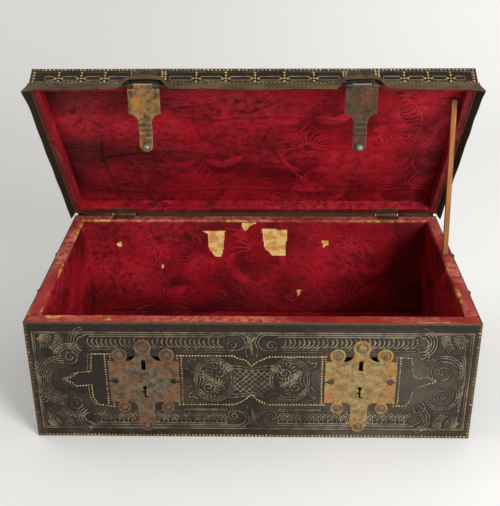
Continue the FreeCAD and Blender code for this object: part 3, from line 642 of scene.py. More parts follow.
def upright_sides(half: float, front: float, back: float, low: float, ends_in: float = 0, short: float = 0,
                  inwards: bool = False, on_lid: bool = False) -> dict[str, tuple[Place, float]]:
    """Lays out the four upright sides of a box, seen from outside it or from inside.

    Args:
        half: How far the front and the back reach to each side.
        front: Where the front lies.
        back: Where the back lies.
        low: The height of their low edges.
        ends_in: How much nearer the middle the two ends lie.
        short: How much shorter the ends are at each corner.
        inwards: Whether the sides face into the box.
        on_lid: Whether they are laid out on the closed lid.

    Returns:
        Each side's place and its width, by name.
    """
    way = -1 if inwards else 1
    right_y, left_y = (front + short, back - short)[::way]
    corners = {"front": (-way * half, front, low), "back": (way * half, back, low),
               "left": (ends_in - half, left_y, low), "right": (half - ends_in, right_y, low)}
    outs = {"front": (0, -way, 0), "back": (0, way, 0), "left": (-way, 0, 0), "right": (way, 0, 0)}
    return {name: (Place(corner, (-outs[name][1], outs[name][0], 0), UP, outs[name], on_lid),
                   2 * half if name in ("front", "back") else back - front - 2 * short)
            for name, corner in corners.items()}


def add(name: str, data: bpy.types.ID) -> Piece:
    """Puts data into the scene as an object.

    Args:
        name: The object's name.
        data: What it shows: a mesh, a light or a camera.

    Returns:
        The object.
    """
    thing = bpy.data.objects.new(name, data)
    bpy.context.scene.collection.objects.link(thing)
    return thing


def mesh_object(name: str, points: Array, faces: list[Array], body: str | None,
                values: dict[str, Array] | None = None, flat: int = 0) -> Piece:
    """Makes one piece from whole arrays and rides it on a body.

    Args:
        name: The piece's name.
        points: Its points in millimetres, one row each.
        faces: Arrays of corner numbers, each for faces with as many corners as it has columns.
        body: The body that carries it, or None for one that no body carries.
        values: Numbers kept at its points, by name.
        flat: How many of the last arrays of faces are shaded flat.

    Returns:
        The object, at the origin.
    """
    mesh = bpy.data.meshes.new(name)
    corners = np.concatenate([group.ravel() for group in faces]).astype(np.int32)
    sizes = np.concatenate([np.full(len(group), group.shape[1]) for group in faces])
    mesh.vertices.add(len(points))
    mesh.vertices.foreach_set("co", (points * MM).astype(np.float32).ravel())
    mesh.loops.add(len(corners))
    mesh.loops.foreach_set("vertex_index", corners)
    mesh.polygons.add(len(sizes))
    mesh.polygons.foreach_set("loop_start", (np.cumsum(sizes) - sizes).astype(np.int32))
    smooth = np.ones(len(sizes), bool)
    if flat:
        smooth[-sum(len(group) for group in faces[-flat:]):] = False
    mesh.polygons.foreach_set("use_smooth", smooth)
    for key, numbers in (values or {}).items():
        layer = mesh.attributes.new(key, "FLOAT", "POINT")
        layer.data.foreach_set("value", numbers.astype(np.float32).ravel())
    mesh.update(calc_edges=True)
    mesh.validate()
    log.info("%s: %d points", name, len(points))
    piece = add(name, mesh)
    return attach(piece, body) if body else piece


def quads(index: Array) -> Array:
    """The quads between neighbouring points of a grid, from the points' numbers."""
    return np.stack([index[:-1, :-1], index[1:, :-1], index[1:, 1:], index[:-1, 1:]], -1)


def ringed(count: int, sides: int, looped: bool = False) -> Array:
    """The quads of a skin through a row of closed sections.

    Args:
        count: How many sections there are.
        sides: How many points each section has.
        looped: Whether the last section joins the first.

    Returns:
        The quads, facing out of sections that turn right-handed along the row.
    """
    index = np.arange(count * sides).reshape(count, sides)
    if looped:
        index = np.concatenate([index, index[:1]])
    return quads(np.concatenate([index, index[:, :1]], 1)).reshape(-1, 4)[:, ::-1]


def graded(breaks: list[float], cell: float, block: int) -> Array:
    """Evenly divides each stretch between breaks into cells, a whole number of blocks of them.

    Args:
        breaks: Where the stretches start and end.
        cell: About how long a cell is.
        block: How many cells make a block.

    Returns:
        Where the cells start and end.
    """
    parts = [np.array(breaks[:1], float)]
    for low, high in zip(breaks, breaks[1:]):
        count = block * max(1, round((high - low) / (cell * block)))
        parts.append(np.linspace(low, high, count + 1)[1:])
    return np.concatenate(parts)


@dataclass
class Panel:
    """A closed panel of leather or cloth: a finely modelled face over a coarse flat back.

    The face is a grid, and each point stands out from the panel's place by the thickness and
    by the relief there. The back has one face for each block of cells, and a wall of faces
    joins the two all the way round, and round each window.
    """

    place: Place
    width: float
    height: float
    thickness: float
    cell: float
    windows: list[Window] = field(default_factory=list)
    block: int = 8

    def __post_init__(self) -> None:
        """Lays out the grid, with the windows' edges on its lines."""
        across = sorted({0.0, self.width, *(edge for window in self.windows for edge in window[:2])})
        up = sorted({0.0, self.height, *(edge for window in self.windows for edge in window[2:])})
        self.u, self.v = (graded(breaks, self.cell, self.block) for breaks in (across, up))
        self.x, self.z = np.meshgrid(self.u, self.v, indexing="ij")

    def edge(self) -> Array:
        """How far each point of the grid lies from the panel's nearest edge."""
        return np.minimum.reduce([self.x, self.width - self.x, self.z, self.height - self.z])

    def rubbed(self, depth: float = 5) -> Array:
        """How rubbed the panel is: most along its edges, and less over a few millimetres."""
        return 0.9 * np.exp(-self.edge() / depth)

    def waves(self, across: float, up: float, seed: int) -> Array:
        """Smooth random waves: white noise with all but its long waves taken out.

        Args:
            across: How long the waves are across.
            up: How long they are upwards.
            seed: The noise's seed.

        Returns:
            A height for each point of the grid, with a mean of 0 and a spread of 1.
        """
        margin = 32
        rows, columns = self.x.shape
        noise = np.random.default_rng(SEED + seed).standard_normal((rows + 2 * margin, columns + 2 * margin))
        slow_u = np.fft.fftfreq(noise.shape[0], self.cell)[:, None] * across
        slow_v = np.fft.fftfreq(noise.shape[1], self.cell)[None, :] * up
        kept = np.real(np.fft.ifft2(np.fft.fft2(noise) * np.exp(-4 * (slow_u ** 2 + slow_v ** 2))))
        kept = kept[margin:margin + rows, margin:margin + columns]
        return (kept - kept.mean()) / (kept.std() + TINY)

    def kept(self) -> Array:
        """Finds which blocks are there, all but those in a window.

        Returns:
            True for each block that is there.
        """
        n = self.block
        middle_u, middle_v = ((line[:-1:n] + line[n::n]) / 2 for line in (self.u, self.v))
        keep = np.ones((len(middle_u), len(middle_v)), bool)
        for left, right, low, high in self.windows:
            inside_u = (middle_u > left) & (middle_u < right)
            keep &= ~(inside_u[:, None] & (middle_v > low) & (middle_v < high))
        return keep

    def build(self, name: str, body: str, relief: Array, values: dict[str, Array]) -> Piece:
        """Makes the panel.

        Args:
            name: The piece's name.
            body: The body that carries it.
            relief: How far each point of the face stands proud, in millimetres.
            values: Numbers kept at the face's points, by name.

        Returns:
            The panel as an object.
        """
        n = self.block
        face = self.place.points(self.x, self.z, self.thickness + relief)
        back_x, back_z = self.x[::n, ::n], self.z[::n, ::n]
        back = self.place.points(back_x, back_z, np.zeros_like(back_x))
        front_id = np.arange(self.x.size).reshape(self.x.shape)
        back_id = front_id.size + np.arange(back_x.size).reshape(back_x.shape)
        keep = self.kept()
        fine = np.repeat(np.repeat(keep, n, 0), n, 1)
        walls = []
        padded = np.pad(keep, 1)
        steps = np.arange(n + 1)
        for axis, step in ((0, -1), (0, 1), (1, -1), (1, 1)):
            i, j = np.nonzero(keep & ~np.roll(padded, -step, axis)[1:-1, 1:-1])
            if axis == 0:
                row = i + (step > 0)
                rim = front_id[(row * n)[:, None], (j * n)[:, None] + steps]
                low, high = back_id[row, j], back_id[row, j + 1]
            else:
                row = j + (step > 0)
                rim = front_id[(i * n)[:, None] + steps, (row * n)[:, None]]
                low, high = back_id[i, row], back_id[i + 1, row]
            turned = (axis == 0) == (step > 0)
            walls.append(np.column_stack([low, high, rim[:, ::-1]] if turned else [high, low, rim]))
        groups = [quads(front_id)[fine], quads(back_id)[keep][:, ::-1], np.concatenate(walls)]
        used = np.zeros(front_id.size + back_id.size, bool)
        for group in groups:
            used[group.ravel()] = True
        renumber = np.cumsum(used) - 1
        points = np.concatenate([face.reshape(-1, 3), back.reshape(-1, 3)])[used]
        numbers = {key: np.concatenate([grid.ravel(), grid[::n, ::n].ravel()])[used]
                   for key, grid in values.items()}
        return mesh_object(name, points, [renumber[group] for group in groups], body, numbers, flat=2)


def tube(name: str, sections: Array, body: str | None, values: dict[str, Array]) -> Piece:
    """A closed skin through a row of closed sections, with a flat end on the first and the last.

    Args:
        name: The piece's name.
        sections: Points, by section and then round it, turning right-handed along the row.
        body: The body that carries it, or None for one that no body carries.
        values: Numbers kept at the points, by name.

    Returns:
        The object.
    """
    count, sides = sections.shape[:2]
    first = np.arange(sides)[None]
    faces = [ringed(count, sides), first[:, ::-1], first + (count - 1) * sides]
    return mesh_object(name, sections.reshape(-1, 3), faces, body, values, flat=2)


def dome(radius: float, height: float, rings: int = 3, sides: int = 8) -> tuple[Array, list[Array]]:
    """A domed stud: rings of points that draw in and rise as a quarter circle does, and a foot.

    Args:
        radius: The stud's radius.
        height: How high it stands.
        rings: How many rings it has.
        sides: How many points a ring has.

    Returns:
        Its points and its faces.
    """
    rise = np.linspace(0, math.pi / 2 * 0.8, rings)[:, None]
    turn = np.arange(sides) * 2 * math.pi / sides
    x, y = radius * np.cos(rise) * np.cos(turn), radius * np.cos(rise) * np.sin(turn)
    z = np.broadcast_to(height * np.sin(rise), x.shape)
    points = np.concatenate([np.stack([x, y, z], -1).reshape(-1, 3), [[0, 0, height]]])
    last = (rings - 1) * sides + np.arange(sides)
    cap = np.stack([last, np.roll(last, -1), np.full(sides, len(points) - 1)], -1)
    return points, [ringed(rings, sides), cap, np.arange(sides)[None, ::-1]]


def studs(name: str, body: str, spots: Array, out: Array, radius: float, tones: Array) -> None:
    """Makes many domed studs as one piece: copies of one, each turned and sized a little.

    Args:
        name: The piece's name.
        body: The body that carries it.
        spots: Where they stand, in the trunk's frame.
        out: Which way each stands.
        radius: Their radius.
        tones: How bright each is.
    """
    rng = np.random.default_rng(SEED + len(spots))
    height = 0.62 * radius
    points, faces = dome(radius, height)
    aside = np.cross(out, np.where(np.abs(out[:, :1]) > 0.7, [0.0, 1.0, 0.0], [1.0, 0.0, 0.0]))
    aside /= np.linalg.norm(aside, axis=1, keepdims=True)
    axes = np.stack([aside, np.cross(out, aside), out], 1) * rng.uniform(0.88, 1.08, (len(spots), 1, 1))
    placed = spots[:, None, :] + np.einsum("pk,nkc->npc", points, axes)
    shift = (np.arange(len(spots)) * len(points))[:, None, None]
    placed_faces = [(group[None] + shift).reshape(-1, group.shape[1]) for group in faces]
    values = {"lift": np.tile(points[:, 2] / height, len(spots)), "tone": np.repeat(tones, len(points))}
    piece = mesh_object(name, placed.reshape(-1, 3), placed_faces, body, values)
    dress(piece, Finish.RUSTY, look="brass_studs")


def arc(centre: Pair, radius: float, start: float, end: float, squash: float = 1) -> Array:
    """Works out the points of an arc, by the cosine and the sine of its angle.

    Args:
        centre: Its centre.
        radius: Its radius.
        start: The angle it starts at, in degrees from +X towards +Z.
        end: The angle it ends at.
        squash: How much taller than wide it is.

    Returns:
        The points.
    """
    count = max(4, int(abs(end - start) * radius / 140) + 3)
    turn = np.radians(np.linspace(start, end, count))
    return np.stack([centre[0] + radius * np.cos(turn), centre[1] + radius * squash * np.sin(turn)], -1)


def volute(centre: Pair, outer: float, inner: float, start: float, turns: float) -> Array:
    """Works out the points of a spiral that winds evenly from one radius to another.

    Args:
        centre: Its centre.
        outer: The radius it starts at.
        inner: The radius it ends at.
        start: The angle it starts at, in degrees.
        turns: How often it goes round.

    Returns:
        The points.
    """
    turn = math.radians(start) + np.linspace(0, 2 * math.pi * turns, max(8, int(abs(turns) * 26)))
    radius = np.linspace(outer, inner, len(turn))
    return np.stack([centre[0] + radius * np.cos(turn), centre[1] + radius * np.sin(turn)], -1)


def smooth(points: list[Pair], steps: int = 6) -> Array:
    """Works out a smooth curve through points, cubic from each to the next.

    Args:
        points: The points that it goes through.
        steps: How many stretches it has between two of them.

    Returns:
        Points of the curve.
    """
    knots = np.array([points[0], *points, points[-1]], float)
    t = np.linspace(0, 1, steps, endpoint=False)[:, None]
    a, b, c, d = (knots[k:len(knots) - 3 + k, None, :] for k in range(4))
    run = 0.5 * (2 * b + (c - a) * t + (2 * a - 5 * b + 4 * c - d) * t ** 2
                 + (3 * b - a - 3 * c + d) * t ** 3)
    return np.concatenate([run.reshape(-1, knots.shape[1]), knots[-1:]])


def bowed(start: Pair, end: Pair, bow: float) -> Array:
    """Works out a short stroke that bows to its left, as a parabola does.

    Args:
        start: Where it starts.
        end: Where it ends.
        bow: How far it bows, as a share of its length.

    Returns:
        The points.
    """
    first, last = np.array(start, float), np.array(end, float)
    aside = np.array([first[1] - last[1], last[0] - first[0]]) * bow
    t = np.linspace(0, 1, 5)[:, None]
    return first + (last - first) * t + aside * 4 * t * (1 - t)


def along(path: Array, pitch: float) -> Array:
    """Spaces places evenly along a path, with one at each end.

    Args:
        path: The path's points.
        pitch: About how far apart the places are.

    Returns:
        The places.
    """
    travelled = np.concatenate([[0], np.cumsum(np.linalg.norm(np.diff(path, axis=0), axis=1))])
    spots = np.linspace(0, travelled[-1], max(2, round(travelled[-1] / pitch) + 1))
    return np.stack([np.interp(spots, travelled, path[:, k]) for k in (0, 1)], -1)


@dataclass
class Tooling:
    """Lines and leaves pressed into leather or woven into cloth, kept on a panel's grid.

    "line" is each grid point's distance to the nearest line, found one short stretch at a
    time over the grid near it, and "leaf" is how deep a point lies in a broad stroke.
    """

    panel: Panel
    reach: float = 6

    def __post_init__(self) -> None:
        """Starts with no line within reach, no leaf and nothing left plain."""
        self.middle = self.panel.width / 2
        self.line = np.full(self.panel.x.shape, self.reach)
        self.leaf, self.plain = np.zeros((2, *self.panel.x.shape))

    @property
    def x(self) -> Array:
        """The grid's places across, from the panel's middle."""
        return self.panel.x - self.middle

    def near(self, low: Array, high: Array, room: float) -> tuple[slice, slice]:
        """Finds the part of the grid within some room of a box.

        Args:
            low: The box's low corner.
            high: Its high corner.
            room: The room.

        Returns:
            The part, across and up.
        """
        u, v = self.panel.u - self.middle, self.panel.v
        i = np.searchsorted(u, [low[0] - room, high[0] + room])
        j = np.searchsorted(v, [low[1] - room, high[1] + room])
        return slice(i[0], i[1] + 1), slice(j[0], j[1] + 1)

    def stretch(self, start: Array, end: Array, room: float) -> tuple:
        """Works out distances to one straight stretch over the grid near it.

        Args:
            start: Where the stretch starts.
            end: Where it ends.
            room: How far from it distances are wanted.

        Returns:
            That part of the grid, the distances there and how far along each point lies.
        """
        part = self.near(np.minimum(start, end), np.maximum(start, end), room)
        x, z = self.panel.x[part] - self.middle - start[0], self.panel.z[part] - start[1]
        run = end - start
        share = unit((x * run[0] + z * run[1]) / (run @ run + TINY))
        return part, np.hypot(x - share * run[0], z - share * run[1]), share

    def draw(self, *strokes: Array, both: bool = False) -> None:
        """Draws lines through points.

        Args:
            *strokes: The points of each line.
            both: Whether to draw their mirror images over the middle too.
        """
        for stroke in strokes:
            for line in (stroke, stroke * [-1, 1]) if both else (stroke,):
                for start, end in zip(line[:-1], line[1:]):
                    part, distance, _ = self.stretch(start, end, self.reach)
                    self.line[part] = np.minimum(self.line[part], distance)

    def arcs(self, centre: Pair, radii: Iterable[float], start: float, end: float, squash: float = 1,
             both: bool = False) -> None:
        """Draws arcs one in another.

        Args:
            centre: Their centre.
            radii: Their radii.
            start: The angle they start at.
            end: The angle they end at.
            squash: How much taller than wide they are.
            both: Whether to draw their mirror images too.
        """
        self.draw(*(arc(centre, radius, start, end, squash) for radius in radii), both=both)

    def swell(self, spine: Array, widths: Array) -> None:
        """Fills a leaf along a spine.

        Args:
            spine: The spine's points.
            widths: Half the leaf's width at each.
        """
        for k in range(len(spine) - 1):
            part, distance, share = self.stretch(spine[k], spine[k + 1], max(widths[k], widths[k + 1]))
            half = widths[k] + (widths[k + 1] - widths[k]) * share
            self.leaf[part] = np.maximum(self.leaf[part], unit(4 - 4 * distance / (half + TINY)))

    def inside(self, outline: list[Pair]) -> Array:
        """Finds the grid's points inside a closed outline, by counting the edges to their right.

        Args:
            outline: The outline's corners.

        Returns:
            True for each point inside.
        """
        corners = np.array(outline, float)
        part = self.near(corners.min(0), corners.max(0), 0)
        x, z = self.panel.x[part] - self.middle, self.panel.z[part]
        odd = np.zeros(x.shape, bool)
        for (x0, z0), (x1, z1) in zip(corners, np.roll(corners, -1, 0)):
            if z0 != z1:
                odd ^= ((z0 > z) != (z1 > z)) & (x < x0 + (z - z0) * (x1 - x0) / (z1 - z0))
        whole = np.zeros(self.panel.x.shape, bool)
        whole[part] = odd
        return whole

    def frame_lines(self, margin: float, low: float, high: float, insets: Iterable[float]) -> None:
        """Draws rectangles one in another.

        Args:
            margin: How far the first lies in from the panel's ends.
            low: Its low edge.
            high: Its high edge.
            insets: How far each is drawn in from the first.
        """
        for inset in insets:
            box = np.array([(-1, 0), (1, 0), (1, 1), (-1, 1), (-1, 0)], float)
            box[:, 0] *= self.middle - margin - inset
            box[:, 1] = low + inset + box[:, 1] * (high - low - 2 * inset)
            self.draw(box)

    def hatch(self, left: float, right: float, low: float, high: float, pitch: float, lean: float,
              bow: float, both: bool = False) -> None:
        """Draws a row of gadroons: bowed strokes, each with a shorter one beside it.

        Args:
            left: Where the row starts.
            right: Where it ends.
            low: The strokes' low ends.
            high: Their high ends.
            pitch: How far apart they are.
            lean: How far each leans.
            bow: How far each bows, as a share of its length.
            both: Whether to draw their mirror images too.
        """
        for x in np.arange(left, right, pitch):
            self.draw(bowed((x, low), (x + lean, high), bow),
                      bowed((x + pitch * 0.36, low + 3), (x + lean + pitch * 0.3, high - 4), bow), both=both)

    def fan(self, centre: Pair, inner: float, outer: float, start: float, end: float, count: int,
            bow: float = 0.12, both: bool = False) -> None:
        """Draws bowed rays from a centre, spread evenly between two angles.

        Args:
            centre: The centre.
            inner: How far from it the rays start.
            outer: How far from it they end.
            start: The first ray's angle in degrees.
            end: The last ray's angle.
            count: How many rays there are.
            bow: How far each bows, as a share of its length.
            both: Whether to draw their mirror images too.
        """
        for turn in np.radians(np.linspace(start, end, count)):
            ray = np.array([math.cos(turn), math.sin(turn)])
            self.draw(bowed(centre + ray * inner, centre + ray * outer, bow), both=both)

    def plume(self, spine: Array, length: float, pitch: float, side: float, both: bool = False) -> None:
        """Draws a spine with curled barbs on one side, longest a third of the way along.

        Args:
            spine: The spine's points.
            length: The longest barb's length.
            pitch: How far apart the barbs are.
            side: 1 for barbs on the spine's left and -1 for its right.
            both: Whether to draw their mirror images too.
        """
        self.draw(spine, both=both)
        travelled = np.concatenate([[0], np.cumsum(np.linalg.norm(np.diff(spine, axis=0), axis=1))])
        for distance in np.arange(pitch, travelled[-1], pitch):
            foot, ahead = (np.array([np.interp(spot, travelled, spine[:, k]) for k in (0, 1)])
                           for spot in (distance, distance + 1))
            ahead -= foot
            if not ahead.any():
                continue
            ahead /= np.linalg.norm(ahead)
            aside = np.array([-ahead[1], ahead[0]]) * side
            share = 0.25 + 0.75 * distance / travelled[-1]
            tip = foot + (aside * 0.82 + ahead * 0.55) * length * math.sin(math.pi * min(1, share)) ** 0.7
            self.draw(bowed(foot, tip, -0.16 * side), both=both)

    def lattice(self, left: float, right: float, low: float, high: float, pitch: float) -> None:
        """Draws crossed slanting lines inside a box.

        Args:
            left: The box's left side.
            right: Its right side.
            low: Its low side.
            high: Its high side.
            pitch: How far apart the lines are.
        """
        rise = high - low
        for x in np.arange(left - rise, right, pitch):
            shares = max(0, (left - x) / rise), min(1, (right - x) / rise)
            if shares[0] < shares[1]:
                for foot, way in ((low, 1), (high, -1)):
                    self.draw(np.array([(x + rise * share, foot + way * rise * share) for share in shares]))

    def relief(self, depth: float) -> Array:
        """The leather swells between its lines and is pressed down along them."""
        return depth * (1 - np.exp(-self.line / 2.0)) * (1 - 0.6 * self.plain)


def leaf_windows(width: float, low: float, high: float) -> list[Window]:
    """The windows that clear the two hinge leaves out of the edge of a panel of some width."""
    half = TRUNK.hinge_width / 2 + TRUNK.fit
    return [(width / 2 + x - half, width / 2 + x + half, low, high) for x in (-TRUNK.hinge_x, TRUNK.hinge_x)]


@dataclass
class StudRows:
    """Studs collected row by row over one flat place, and then made as one piece."""

    place: Place
    width: float
    radius: float
    pitch: float
    sunk: float = 0.2
    uneven: float = 0.08
    tarnish: float = 0.16
    rows: list[Array] = field(default_factory=list)
    tones: list[Array] = field(default_factory=list)

    def row(self, corners: Iterable[Pair], tone: float, pitch: float | None = None) -> None:
        """Sets a row of studs along a path.

        Args:
            corners: The path's corners, across from the place's middle and up.
            tone: How bright the studs are.
            pitch: About how far apart they are, where it isn't as in the other rows.
        """
        spots = along(np.array(corners, float), pitch or self.pitch)
        self.rows.append(spots)
        self.tones.append(np.full(len(spots), tone))

    def make(self, name: str, body: str) -> None:
        """Makes the studs, each a little out of line and of its own tone, as hand work is.

        Args:
            name: The piece's name.
            body: The body that carries it.
        """
        spots = np.concatenate(self.rows)
        rng = np.random.default_rng(SEED + len(spots))
        spots = spots + rng.normal(0, self.radius * self.uneven, spots.shape)
        tones = np.concatenate(self.tones) + rng.normal(0, self.tarnish, len(spots))
        seat = np.full(len(spots), TRUNK.skin - self.sunk)
        feet, tips = (self.place.points(spots[:, 0] + self.width / 2, spots[:, 1], seat + up)
                      for up in (0, 1))
        studs(name, body, feet, tips - feet, self.radius, tones)


@dataclass
class BaseLeather:
    """The tooled leather on the four sides of the base, with its rows of studs."""

    trunk: Trunk = TRUNK
    lift: float = 1
    border: float = 11
    low: float = 17
    high: float = 201
    front_cell: float = 1.32
    side_cell: float = 2.0
    swelling: float = 0.55

    # The outlines of the three stud-edged fields of the front, across from its middle and up
    LEFT_FIELD = ((-221, 161), (-250, 161), (-253.5, 128), (-276, 125), (-283, 118), (-295, 113),
                  (-284, 106), (-277, 99.5), (-254, 102), (-253.5, 79), (-247, 64), (-221, 60))
    RIGHT_FIELD = ((224, 157), (247, 156), (252.5, 122), (260, 118), (271.5, 122), (288, 112),
                   (259, 100), (252, 89), (250.5, 77), (244, 64.5), (224, 64))
    CENTRE_TOP = ((-116, 158.5), (-28.7, 158.5), (-22, 154), (-10, 151), (-1, 139.5), (8, 147.5),
                  (26.4, 157), (112, 157))
    CENTRE_LOW = ((112, 65.5), (25.5, 65), (10, 73), (-1, 85), (-15.7, 71.5), (-27.7, 65), (-116, 65))
    # The rows of studs round them: the corners of each, and how bright it is
    ROWS = ((LEFT_FIELD, 0.72), (RIGHT_FIELD, 0.72), (((-229.5, 160), (-229.5, 62)), 0.6),
            (((230.5, 155), (230.5, 66)), 0.66), (((-221, 60), (-221, 161)), 0.6),
            (((224.5, 64), (224.5, 157)), 0.7), (CENTRE_TOP, 0.82), (CENTRE_LOW, 0.78),
            *((((x, 65), (x, 158)), 0.7) for x in (-116.5, -110, 109, 114.5)))

    def front(self, place: Place, width: float) -> None:
        """Makes the front, with windows where the lock cases lie.

        Args:
            place: Where it lies.
            width: Its width.
        """
        windows = []
        for low, high in (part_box("left_lock_case"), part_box("right_lock_case")):
            windows.append((low.x / MM + width / 2, high.x / MM + width / 2,
                            low.z / MM - self.lift, high.z / MM - self.lift))
        panel = Panel(place, width, self.trunk.height - self.lift, self.trunk.skin, self.front_cell, windows)
        tooling = Tooling(panel)
        self.scrollwork(tooling)
        self.roundels(tooling)
        self.ends(tooling)
        for outline in (self.LEFT_FIELD, self.RIGHT_FIELD):
            bare = tooling.inside(outline)
            tooling.plain[bare] = 1
            tooling.line[bare] = tooling.reach
        tooling.draw(np.array(self.CENTRE_TOP + self.CENTRE_LOW) * [0.985, 1],
                     np.array(self.LEFT_FIELD) * [1.02, 1])
        tooling.plain = np.maximum(tooling.plain, panel.z > self.high + 3)
        self.hide("front", tooling)
        rows = StudRows(place, width, 1.75, 4.7)
        for corners, tone in self.ROWS:
            rows.row(corners, tone)
        rows.make("front_field_studs", "trunk_base")

    def hide(self, side: str, tooling: Tooling) -> None:
        """Makes a tooled panel in place of its plain one, with studs at its foot and its corners.

        The front's dust and painted sheen thicken to the right; the other sides have a little all over.

        Args:
            side: The side's name.
            tooling: Its tooling.
        """
        panel, name = tooling.panel, f"base_{side}_leather_skin"
        relief = tooling.relief(self.swelling) + 0.12 * panel.waves(70, 50, len(name))
        relief -= 1.1 * np.exp(-panel.edge() / 1.1)
        # Dust and a painted sheen: greyer towards the front's right end, fading at its very end and above the
        # tooling.
        across = panel.x / panel.width if side == "front" else 0.3
        dust_and_sheen = unit(1.5 * across - 0.72 + 0.15 * panel.waves(60, 40, 7))
        dust_and_sheen *= np.clip(8 * (1 - across), 0.2, 1) * np.clip((self.high + 8 - panel.z) / 8, 0.15, 1)
        values = {"line": tooling.line, "plain": tooling.plain, "worn": panel.rubbed(), "dust_and_sheen": dust_and_sheen}
        piece = panel.build(name, "trunk_base", relief, values)
        dress(piece, Finish.TOOLED, f"base_{side}_leather")
        rows = StudRows(panel.place, panel.width, 2.0, 5.7)
        half, inset = panel.width / 2, 3.4
        rows.row([(8 - half, inset), (half - 8, inset)], 0.8)
        for x in (inset - half, half - inset):
            rows.row([(x, 4), (x, panel.height - 4)], 0.28, 6.4)
        rows.make(f"base_{side}_edge_studs", "trunk_base")

    def scrollwork(self, tooling: Tooling) -> None:
        """Draws the border, the two long bands of gadroons and the scrolls that end them.

        Args:
            tooling: The front's tooling.
        """
        tooling.frame_lines(self.border, self.low, self.high, (0, 3.4))
        for base, sign in ((183, 1), (38, -1)):
            outer, inner = base + 14 * sign, base - 14 * sign
            start = 90 * sign
            for left, right, z in ((24, 258, outer), (40, 250, outer - 4 * sign), (34, 252, inner),
                                   (40, 110, inner - 4 * sign)):
                tooling.draw(np.array([(left, z), (right, z)]), both=True)
            tooling.draw(arc((24, base), 14, start, start + 200 * sign),
                         arc((24, base), 18.5, start + 30 * sign, start + 120 * sign),
                         volute((30, base - 5 * sign), 10, 1.5, start + 180, 1.5 * sign), both=True)
            low, high = sorted((inner + 3 * sign, outer - 7 * sign))
            tooling.hatch(42, 244, low, high, 7.2, 9, -0.24 * sign, both=True)
            tooling.draw(arc((262, base), 9, -100, 100),
                         arc((256, base - 3 * sign), 15, -60 * sign, 90 * sign),
                         bowed((2.5, base - 24 * sign), (12, outer + 2 * sign), 0.2 * sign),
                         bowed((7, base - 26 * sign), (4, base), -0.15 * sign), both=True)
            tooling.fan((0, base - 20 * sign), 5, 34, 82 * sign, 98 * sign, 3)

    def roundels(self, tooling: Tooling) -> None:
        """Draws the two leafy roundels of the middle field and the lattice between them.

        Args:
            tooling: The front's tooling.
        """
        for sign in (-1, 1):
            x, z = sign * 59.5, 113
            tooling.arcs((x, z), (31, 27.5), 0, 360, 1.22)
            tooling.arcs((x, z), (34.5,), 20, 160, 1.2)
            tooling.arcs((x, z), (34.5,), 200, 340, 1.2)
            tooling.draw(volute((x - 8 * sign, z + 13), 12, 1.5, 200, 1.6 * sign),
                         volute((x + 9 * sign, z - 14), 11, 1.5, 20, 1.5 * sign))
            spine = smooth([(x - 19 * sign, z - 16), (x - 7 * sign, z - 6), (x + 9 * sign, z + 3),
                            (x + 17 * sign, z + 19)])
            tooling.plume(spine, 13, 4.6, 1)
            tooling.plume(spine, 11, 4.6, -1)
            tooling.fan((x - 8 * sign, z + 13), 13, 21, 20, 160, 8)
            tooling.fan((x + 9 * sign, z - 14), 12, 19, 200, 340, 8)
            tooling.arcs((sign * 20, z + 3), (22, 27, 32), 90 - 68 * sign, 90 - 30 * sign)
            tooling.arcs((sign * 104, z + 2), (18, 23, 28), 90 + 50 * sign, 90 + 120 * sign)
            for rise in (-1, 1):
                for start, end in (((101, 34), (91, 22)), ((101, 34), (86, 37)), ((104, 22), (94, 12))):
                    tooling.draw(bowed((sign * start[0], z + rise * start[1]),
                                       (sign * end[0], z + rise * end[1]), 0.2))
        tooling.lattice(-27, 27, 90, 130, 9.5)
        for rise in (-1, 1):
            for steps in (((32, 25), (14, 23.5), (0, 21.5)), ((34, 31), (12, 28), (0, 25.5))):
                half = [(x, 110 + z * rise) for x, z in steps]
                tooling.draw(smooth([(-x, z) for x, z in half] + half[1::-1]))

    def ends(self, tooling: Tooling) -> None:
        """Draws the ribbed C scroll at the left, the volutes at the right and the corner leaves.

        Args:
            tooling: The front's tooling.
        """
        for radius in np.arange(22, 41, 3.7):
            tooling.arcs((-297, 110), (radius,), 72 + 0.4 * radius, 288 - 0.4 * radius, 1.16)
        tooling.fan((-299, 110), 44, 53, 128, 232, 15, 0.25)
        tooling.draw(volute((297, 129), 23, 2.5, 20, 1.8), volute((300, 84), 19, 2.5, 60, -1.7),
                     volute((264, 60), 12, 2, 60, -1.5), volute((264, 160), 11, 2, 300, 1.5))
        tooling.arcs((297, 129), (27, 31), -30, 150)
        tooling.arcs((300, 84), (23, 27), -160, 20)
        tooling.plume(smooth([(327, 168), (331, 146), (332, 112), (330, 78), (328, 52)]), 9, 5, -1)
        hooks = (19, 23.5, 28)
        for rise in (-1, 1):
            curl = (-283, 110 + 45 * rise)
            tooling.draw(volute(curl, 13, 2, -100 * rise, 1.5 * rise))
            tooling.arcs(curl, (17, 21, 25), 60 * rise, 165 * rise)
            tooling.arcs((-256, 110 + 73 * rise), hooks, 100 * rise, 240 * rise)
            tooling.arcs((256, 110 + 73 * rise), hooks, 80 * rise, -60 * rise)
            left, right = (-334, 109 + 88 * rise), (334, 109 + 88 * rise)
            tooling.fan(left, 8, 27, -12 * rise, -78 * rise, 7, 0.18 * rise)
            tooling.fan(left, 31, 45, -6 * rise, -52 * rise, 9, 0.2 * rise)
            tooling.fan(right, 8, 27, 192 * rise, 258 * rise, 7, -0.18 * rise)
            tooling.fan(right, 31, 45, 186 * rise, 226 * rise, 8, -0.2 * rise)

